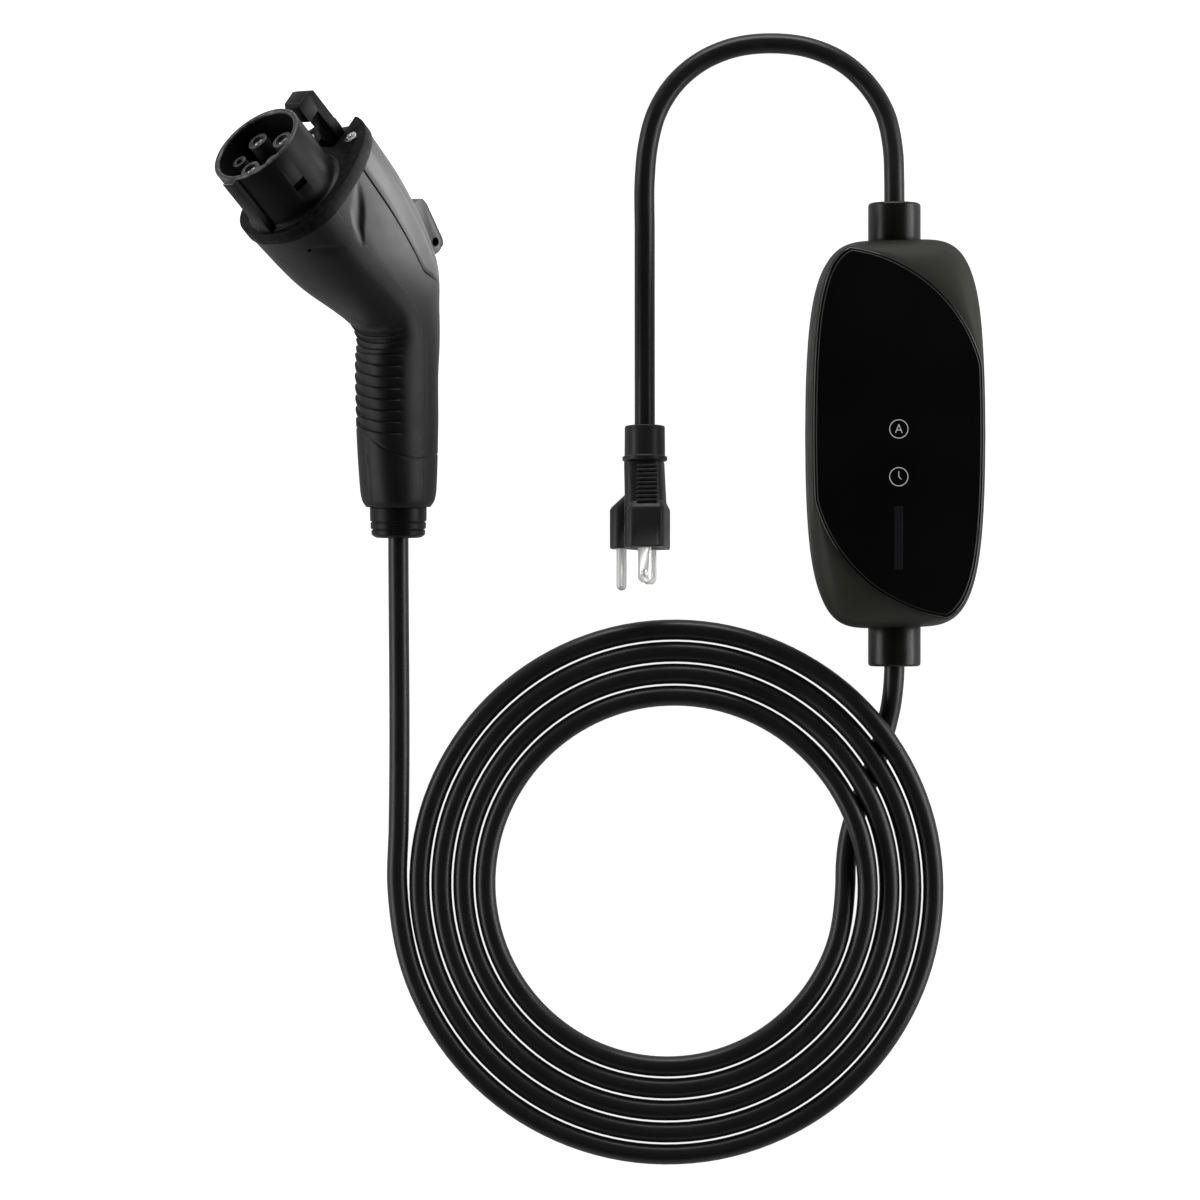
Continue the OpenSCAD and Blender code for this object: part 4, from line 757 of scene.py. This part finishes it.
def palmDip(s, t, edge):
    seat = stripSet["seat"] * (np.abs(t - 270) < edge - stripSet["seatSlip"]) * (stripReach(s) > 1)
    mirrored = np.where(t > 270, t - 360, -180 - (t - 360))
    return seat + leafDip(s, t) + lineGroove(s, mirrored, trimSet["seam"], *trimSet["seamSize"])


s = stations(buttStations, (buttAt + 1, 34, 1.2), (34, 42, 0.4), (42, stripAt - 1.2, 1.2),
             (stripAt, stripAt + 4, 0.2), (stripAt + 4, flangeAt, 0.8))
edge = np.maximum(stripReach(s), 1) + stripSet["gap"]
outer, inner = np.linspace(1, 0, 26)[None, :], np.linspace(1, 0, 30)[None, :]
lip = edge + stripSet["lipOut"]  # columns crowd at the lip of the strip's seat
halfTurns = np.concatenate([lip + (90 - lip) * outer, (edge - stripSet["lipIn"]) * inner], 1)
turns = np.concatenate([270 - halfTurns, (270 + halfTurns)[:, ::-1][:, 1:]], 1)
bend = seamAngle(s) * np.clip((np.abs(turns - 270) - edge) / (90 - edge), 0, 1)
t = turns + np.sign(turns - 270) * bend
palmShell = skinSheet("palmShell", s, t, palmDip(s, t, edge), gripSet["wall"], -gripSet["seam"] / 2, gripPlastic)

s = stations(stripAt + np.linspace(0.15, 2, 14) ** 2, (stripAt + 4.6, flangeAt, 0.9))
across = np.concatenate([np.linspace(0, 0.03, 4), np.linspace(0.05, 0.95, 60), np.linspace(0.97, 1, 4)])
t = 270 + stripReach(s) * (2 * across - 1)[None, :]
side = np.abs(t - 270)
edgeIn = stripSet["edgeFall"] * (1 - smoothStep(0, stripSet["edgeWidth"], stripReach(s) - side))
crease = (stripSet["creaseDepth"] * np.exp(-((side - stripSet["creaseAt"]) / stripSet["creaseWidth"]) ** 2)
          * smoothStep(0, stripSet["creaseFade"], s - stripAt))
palmStrip = skinSheet("palmStrip", s, t, edgeIn + crease, stripSet["under"], -gripSet["seam"] / 2, stripPlastic)

noseSet = {"barrel": 31.0, "flange": 6.0, "button": 60.0, "buttonSlope": 18.0, "buttonLength": 27.0,
           "buttonWidth": 11.0, "buttonGap": 0.8, "slotBack": 1.9, "slotDeep": (-18, 27)}
noseTurn = gunTurn @ turned(gripSet["bendAngle"] - 90, "X")
noseYZ = spineAt(flangeAt + noseSet["flange"] + noseSet["barrel"])[1:]
nosePlace = gunPlace + gunTurn @ np.array([0, *noseYZ])
buttonDepths = hermite(gripStations, gripDepths, gripSlopes, np.array([flangeAt - noseSet["button"]]))
buttonAt = np.array([0, buttonDepths[0, 0], -noseSet["barrel"] - noseSet["flange"] - noseSet["button"]])
buttonTurn = noseTurn @ turned(-noseSet["buttonSlope"], "X")
buttonPlace = nosePlace + noseTurn @ buttonAt


def buttonSlot():
    x = noseSet["buttonWidth"] / 2 + noseSet["buttonGap"]
    z = noseSet["buttonLength"] / 2 + noseSet["buttonGap"]
    y0, y1 = noseSet["slotDeep"]
    corners = np.array([(i, j, k) for k in (-z - noseSet["slotBack"], z)
                        for i, j in ((-x, y0), (x, y0), (x, y1), (-x, y1))])
    return meshObject("tool", corners @ buttonTurn.T + buttonPlace, stackFaces(2, 4))


for thing in (palmShell, palmStrip):
    cutAway(thing, [buttonSlot()], gripSet["sharp"])
keep(fingerShell, "grip_plastic", "finger_shell")
keep(palmShell, "grip_plastic", "palm_shell")
keep(palmStrip, "strip_plastic", "palm_strip")
keep(cordCollar, "black_plastic", "cord_collar")
print("connector shells made")


# Machined and moulded parts that keep their solid's shape, with softened edges

dressRule = {"merge": 2e-6, "flat": 0.6, "segments": 2, "bevelFrom": 32, "sharp": 35,
             "onLatch": ("latch_lever", "thumb_button")}


def dress(node, material, slot, bevel):  # top_sleeve becomes topSleeve
    first, second = node.split("_")
    data = cadNodes[node].data.copy()
    rework(data, dressRule["merge"], dressRule["flat"])
    if data.attributes.get("custom_normal"):
        data.attributes.remove(data.attributes["custom_normal"])
    thing = finishMesh(first + second.title(), data, material, 0)
    if bevel:
        soft = thing.modifiers.new("soft", "BEVEL")
        soft.width, soft.segments, soft.limit_method = bevel * mm, dressRule["segments"], "ANGLE"
        soft.angle_limit = math.radians(dressRule["bevelFrom"])
        soft.use_clamp_overlap = True
        soft.miter_outer = "MITER_ARC"
        bpy.context.view_layer.update()
        bakeDown(thing)
    smooth(thing.data, dressRule["sharp"])
    keep(thing, slot, node, body="latch" if node in dressRule["onLatch"] else "charger")
    return thing


dressSet = [  # solid, finish, slot, width of its softened edges
    ("top_sleeve", sleevePlastic, "box_plastic", 0.3),
    ("bottom_sleeve", sleevePlastic, "box_plastic", 0.3),
    ("nose_barrel", nosePlastic, "black_plastic", 0.3),
    ("flange_collar", flangePlastic, "black_plastic", 0.5),
    ("contact_carrier", nosePlastic, "black_plastic", 0),
    ("contact_shrouds", shroudPlastic, "black_plastic", 0.2),
    ("power_contacts", contactMetal, "contact_metal", 0.3),
    ("signal_contacts", contactMetal, "contact_metal", 0.2),
    ("latch_lever", latchPlastic, "black_plastic", 0.5),
    ("thumb_button", buttonPlastic, "grip_plastic", 0.9),
    ("plug_blades", prongMetal, "prong_metal", 0.2),
    ("ground_pin", prongMetal, "prong_metal", 0.2),
]
dressed = {node: dress(node, *rest) for node, *rest in dressSet}

mouthSet = {"rimFrom": -1.2, "windows": (202, -22), "reach": (20.3, 21.68), "half": 3.2, "along": (-19.8, -16.2)}
barrelData = dressed["nose_barrel"].data
barrelData.materials.append(pocketShade)
barrelData.materials.append(rimHighlightPlastic)
for face in barrelData.polygons:  # painted highlight on the rim at the mouth, painted shade in the window pockets
    x, y, z = noseTurn.T @ (np.array(face.center) / mm - nosePlace)
    if z > mouthSet["rimFrom"]:
        face.material_index = 2
    for angle in np.radians(mouthSet["windows"]):
        out, over = x * math.cos(angle) + y * math.sin(angle), y * math.cos(angle) - x * math.sin(angle)
        if (mouthSet["reach"][0] < out < mouthSet["reach"][1] and abs(over) < mouthSet["half"]
                and mouthSet["along"][0] < z < mouthSet["along"][1]):
            face.material_index = 1
for node, material in {"shell_seal": sealRubber, "light_guide": guidePlastic, "touch_board": boardGreen,
                       "main_board": boardGreen, "power_relays": relayBlue, "transformer": tapeYellow,
                       "capacitors": canSleeve, "fault_sensor": sealRubber, "latch_pin": screwSteel,
                       "latch_spring": screwSteel, "latch_switch": nosePlastic}.items():
    cadNodes[node].data.materials.clear()
    cadNodes[node].data.materials.append(material)
print("solids dressed:", len(dressed))


# Screws by geometry nodes

def newTree(name, inputs):
    tree = bpy.data.node_groups.new(name, "GeometryNodeTree")
    for label, kind in inputs:
        tree.interface.new_socket(label, in_out="INPUT", socket_type="NodeSocket" + kind)
    tree.interface.new_socket("Geometry", in_out="OUTPUT", socket_type="NodeSocketGeometry")
    return tree, newNode(tree, "NodeGroupInput").outputs


def runTree(thing, tree, values):
    modifier = thing.modifiers.new("nodes", "NODES")
    modifier.node_group = tree
    for item in tree.interface.items_tree:
        if item.in_out == "INPUT" and item.name in values:
            modifier[item.identifier] = values[item.name]
    bpy.context.view_layer.update()
    return bakeDown(thing)


def endTree(spread, given):  # instances made real and painted
    tree = spread.id_data
    real, paint, result = (newNode(tree, kind) for kind in (
        "GeometryNodeRealizeInstances", "GeometryNodeSetMaterial", "NodeGroupOutput"))
    link(spread.outputs["Instances"], real, "Geometry")
    link(real.outputs["Geometry"], paint, "Geometry")
    link(given["Finish"], paint, "Material")
    link(paint.outputs["Geometry"], result, "Geometry")
    return tree


def screwTree():  # one cross-head screw on every point, turned by the point's own direction
    sizes = [(label, "Float") for label in shellScrewSet]
    tree, given = newTree("screwHeads", [("Geometry", "Geometry"), *sizes, ("Finish", "Material")])

    def maths(operation, a, b):
        node = newNode(tree, "ShaderNodeMath")
        node.operation = operation
        for k, value in enumerate((a, b)):
            if isinstance(value, float):
                fill(node, {k: value})
            else:
                link(value, node, k)
        return node.outputs[0]

    def rod(sides, radius, length, z):
        node = newNode(tree, "GeometryNodeMeshCylinder", {"Vertices": sides})
        shift, move = newNode(tree, "ShaderNodeCombineXYZ"), newNode(tree, "GeometryNodeTransform")
        link(radius, node, "Radius")
        link(length, node, "Depth")
        link(z, shift, "Z")
        link(node.outputs["Mesh"], move, "Geometry")
        link(shift.outputs[0], move, "Translation")
        return move.outputs["Geometry"]

    cut, join, spread = (newNode(tree, "GeometryNode" + kind)
                         for kind in ("MeshBoolean", "JoinGeometry", "InstanceOnPoints"))
    cut.operation = "DIFFERENCE"
    headHeight, shankLength = given["Head Height"], given["Shank Length"]
    link(rod(headSides, given["Head Radius"], headHeight, maths("MULTIPLY", headHeight, -0.5)), cut, "Mesh 1")
    for along, across in (("X", "Y"), ("Y", "X")):
        bar, size = newNode(tree, "GeometryNodeMeshCube"), newNode(tree, "ShaderNodeCombineXYZ")
        link(given["Slot Length"], size, along)
        link(given["Slot Width"], size, across)
        link(maths("MULTIPLY", given["Slot Depth"], 2.0), size, "Z")
        link(size.outputs[0], bar, "Size")
        link(bar.outputs["Mesh"], cut, "Mesh 2")
    shankMiddle = maths("SUBTRACT", maths("MULTIPLY", shankLength, -0.5), headHeight)
    link(cut.outputs["Mesh"], join, 0)
    link(rod(shankSides, given["Shank Radius"], shankLength, shankMiddle), join, 0)
    facing = newNode(tree, "GeometryNodeInputNamedAttribute", {"Name": "facing"})
    align = newNode(tree, "FunctionNodeAlignRotationToVector")
    facing.data_type, align.axis = "FLOAT_VECTOR", "Z"
    link(facing.outputs["Attribute"], align, "Vector")
    link(given["Geometry"], spread, "Points")
    link(join.outputs[0], spread, "Instance")
    link(align.outputs["Rotation"], spread, "Rotation")
    return endTree(spread, given)


def addScrews(name, places, facing, values, node):
    data = bpy.data.meshes.new(name)
    data.from_pydata([tuple(np.array(p) * mm) for p in places], [], [])
    data.attributes.new("facing", "FLOAT_VECTOR", "POINT").data.foreach_set("vector", list(facing) * len(places))
    thing = addObject(name, data)
    runTree(thing, screws, {**values, "Finish": screwSteel})
    smooth(thing.data, dressRule["sharp"])
    keep(thing, "steel", node)


shellScrewSet = {"Head Radius": 0.0028, "Head Height": 0.002, "Shank Radius": 0.0015, "Shank Length": 0.024,
                 "Slot Length": 0.0036, "Slot Width": 0.0008, "Slot Depth": 0.001}
flangeScrewSet = {"Head Radius": 0.003, "Head Height": 0.0016, "Shank Radius": 0.0015, "Shank Length": 0.005,
                  "Slot Length": 0.0036, "Slot Width": 0.0008, "Slot Depth": 0.0008}
headSides, shankSides = 48, 24
shellScrewSink, flangeScrewAt = 0.5, (13.6, 33, -30.4)
screws = screwTree()
addScrews("shellScrews", [(x, y, shellScrewSink) for x, y, z in screwPlaces], (0, 0, -1), shellScrewSet,
          "shell_screws")
addScrews("flangeScrews", [nosePlace + noseTurn @ (np.array(flangeScrewAt) * (i, 1, 1)) for i in (-1, 1)],
          noseTurn[:, 2], flangeScrewSet, "flange_screws")
print("screws made")


# Wall plug

plugSet = {"place": (-114.0, -52.0, 13.26), "tilt": 4.0, "roll": 10.0, "front": 18.4, "body": 22.0, "sides": 64,
           "sharp": 40, "bore": 4.75, "boreDepth": 8, "sleeve": 14.0, "sleeveRadius": 9.2, "sleeveFlare": 0.1,
           "sleeveSides": 72, "bead": 10.3, "beadLength": 1.8, "beadSink": 0.2, "beadInner": 6, "soft": 0.7,
           "bodyStart": (-9.2, 8.6, 8.2), "bodyGrow": (0.5, 1.0, 1.2), "bodyCorner": 3.6, "bodyRound": 0.05,
           "frontEdge": ((-0.9, 0), (-0.4, 0.12), (0, 0.5)),
           "bladeX": 1.1, "bladeFront": 9.4, "blockWidth": 23.0, "blockDepth": 17.0, "blockCorner": 7,
           "blockBack": ((-21.2, 3.4), (-19.6, 1.7), (-18.6, 0.5), (-17.6, 0)), "blockDraw": (0.4, 0.75),
           "lobe": 5.4, "lobeReach": 9, "pinAway": 11.9}
plugTurn = turned(90 - plugSet["tilt"], "X") @ turned(plugSet["roll"], "Z")
plugPlace = np.array(plugSet["place"])
bodyTop = -plugSet["front"] - plugSet["body"]
plugPoints, plugFaces = [], []


def addSolid(rings, closeEnds=True):
    k = len(plugPoints)
    plugPoints.extend(np.concatenate(rings) @ plugTurn.T + plugPlace)
    plugFaces.extend(tuple(k + i for i in f) for f in stackFaces(len(rings), len(rings[0]), closeEnds))


def roundedBox(x0, x1, y, corner):
    across, along = superRound(plugSet["sides"], corner)
    return np.stack([(x0 + x1) / 2 + (x1 - x0) / 2 * across, y * along], -1)


def bodyRing(f, draw, z):  # f runs from the bead to the front block
    x0, x1, y = (start + grow * f for start, grow in zip(plugSet["bodyStart"], plugSet["bodyGrow"]))
    return lifted(roundedBox(x0 + draw, x1 - draw, y - draw, plugSet["bodyCorner"]), z)


beadFoot = bodyTop - plugSet["beadLength"]
sleeveEnd = beadFoot - plugSet["sleeve"]
beadTop = bodyTop + plugSet["beadSink"]
profile = softCorner([
    (plugSet["bore"], sleeveEnd + plugSet["boreDepth"]), (plugSet["bore"], sleeveEnd),
    (plugSet["sleeveRadius"], sleeveEnd), (plugSet["sleeveRadius"] + plugSet["sleeveFlare"], beadFoot),
    (plugSet["bead"], beadFoot), (plugSet["bead"], beadTop), (plugSet["beadInner"], beadTop)], plugSet["soft"])
addSolid(spun(profile, plugSet["sleeveSides"]), False)

rings = []
for f in np.concatenate([[0, 0.02], np.linspace(plugSet["bodyRound"], 1, 16)]):
    draw = plugSet["soft"] * (1 - min(f / plugSet["bodyRound"], 1)) ** 2
    rings.append(bodyRing(f, draw, bodyTop + plugSet["body"] * f))
rings += [bodyRing(1, draw, z) for z, draw in ((-plugSet["front"] / 2, 0), *plugSet["frontEdge"])]
addSolid(rings)

left = plugSet["bladeX"] + plugSet["bladeFront"] - plugSet["blockDepth"]
drawX, drawY = plugSet["blockDraw"]
rings = [lifted(roundedBox(left + draw * drawX, left + plugSet["blockDepth"] - draw * drawX,
                           plugSet["blockWidth"] / 2 - draw * drawY, plugSet["blockCorner"]), z)
         for z, draw in (*plugSet["blockBack"], *plugSet["frontEdge"])]
addSolid(rings)

lobeX, lobe = plugSet["bladeX"] - plugSet["pinAway"], plugSet["lobe"]
lobeRows = [(-3.5, 4.2, -26.0), (-4.6, 4.5, -24.8), (lobeX + 0.5, 5.2, -19.0), (lobeX, lobe, -17.8)]
lobeRows += [(lobeX, lobe - draw, z) for z, draw in plugSet["frontEdge"]]
t = turnAngles(plugSet["sides"])
rings = []
for x, radius, z in lobeRows:  # round on the pin's side, drawn out into the block on the other
    reach = np.where(np.cos(t) > 0, plugSet["lobeReach"], radius)
    rings.append(lifted(np.stack([x + reach * np.cos(t), radius * np.sin(t)], -1), z))
addSolid(rings)
plugBody = meshObject("plugBody", plugPoints, plugFaces, plugRubber, plugSet["sharp"])
rework(plugBody.data, turnOut=True)


# Ribs on the plug's grip by geometry nodes

ridgeSet = {"count": 9, "pitch": 2.0, "first": 2.9, "x": 2.6, "stand": 0.3, "bar": (0.0098, 0.0016, 0.0012),
            "barCuts": 5, "softLevel": 2, "crease": 0.7}


def ribTree():  # soft bars in a row
    tree, given = newTree("gripRibs", [
        ("Geometry", "Geometry"), ("Count", "Int"), ("Bar Size", "Vector"), ("Start", "Vector"), ("Step", "Vector"),
        ("Turn", "Rotation"), ("Finish", "Material")])
    line, bar, soft, spread = (newNode(tree, "GeometryNode" + kind) for kind in (
        "MeshLine", "MeshCube", "SubdivisionSurface", "InstanceOnPoints"))
    line.mode, line.count_mode = "OFFSET", "TOTAL"
    fill(bar, {"Vertices X": ridgeSet["barCuts"]})
    fill(soft, {"Level": ridgeSet["softLevel"], "Edge Crease": ridgeSet["crease"]})
    link(given["Count"], line, "Count")
    link(given["Start"], line, "Start Location")
    link(given["Step"], line, "Offset")
    link(given["Bar Size"], bar, "Size")
    link(bar.outputs["Mesh"], soft, "Mesh")
    link(soft.outputs["Mesh"], spread, "Instance")
    link(line.outputs["Mesh"], spread, "Points")
    link(given["Turn"], spread, "Rotation")
    return endTree(spread, given)


ribs = ribTree()
plugRibs = []
for side in (-1, 1):
    thing = addObject("plugRibsUpper" if side > 0 else "plugRibsLower", bpy.data.meshes.new("plugRibs"))
    ends = []
    for k in (0, ridgeSet["count"] - 1):
        z = -plugSet["front"] - ridgeSet["first"] - k * ridgeSet["pitch"]
        surface = plugSet["bodyStart"][2] + plugSet["bodyGrow"][2] * (z - bodyTop) / plugSet["body"]
        ends.append(plugPlace + plugTurn @ np.array([ridgeSet["x"], side * (surface + ridgeSet["stand"]), z]))
    runTree(thing, ribs, {"Count": ridgeSet["count"], "Bar Size": ridgeSet["bar"], "Start": tuple(ends[0] * mm),
                          "Step": tuple((ends[1] - ends[0]) / (ridgeSet["count"] - 1) * mm),
                          "Turn": tuple(Matrix(plugTurn.tolist()).to_euler()), "Finish": plugRubber})
    smooth(thing.data, 0)
    plugRibs.append(thing)
keep(plugBody, "cord_rubber", "plug_body")
for thing in plugRibs:
    keep(thing, "cord_rubber")
print("plug made")

bpy.context.view_layer.update()
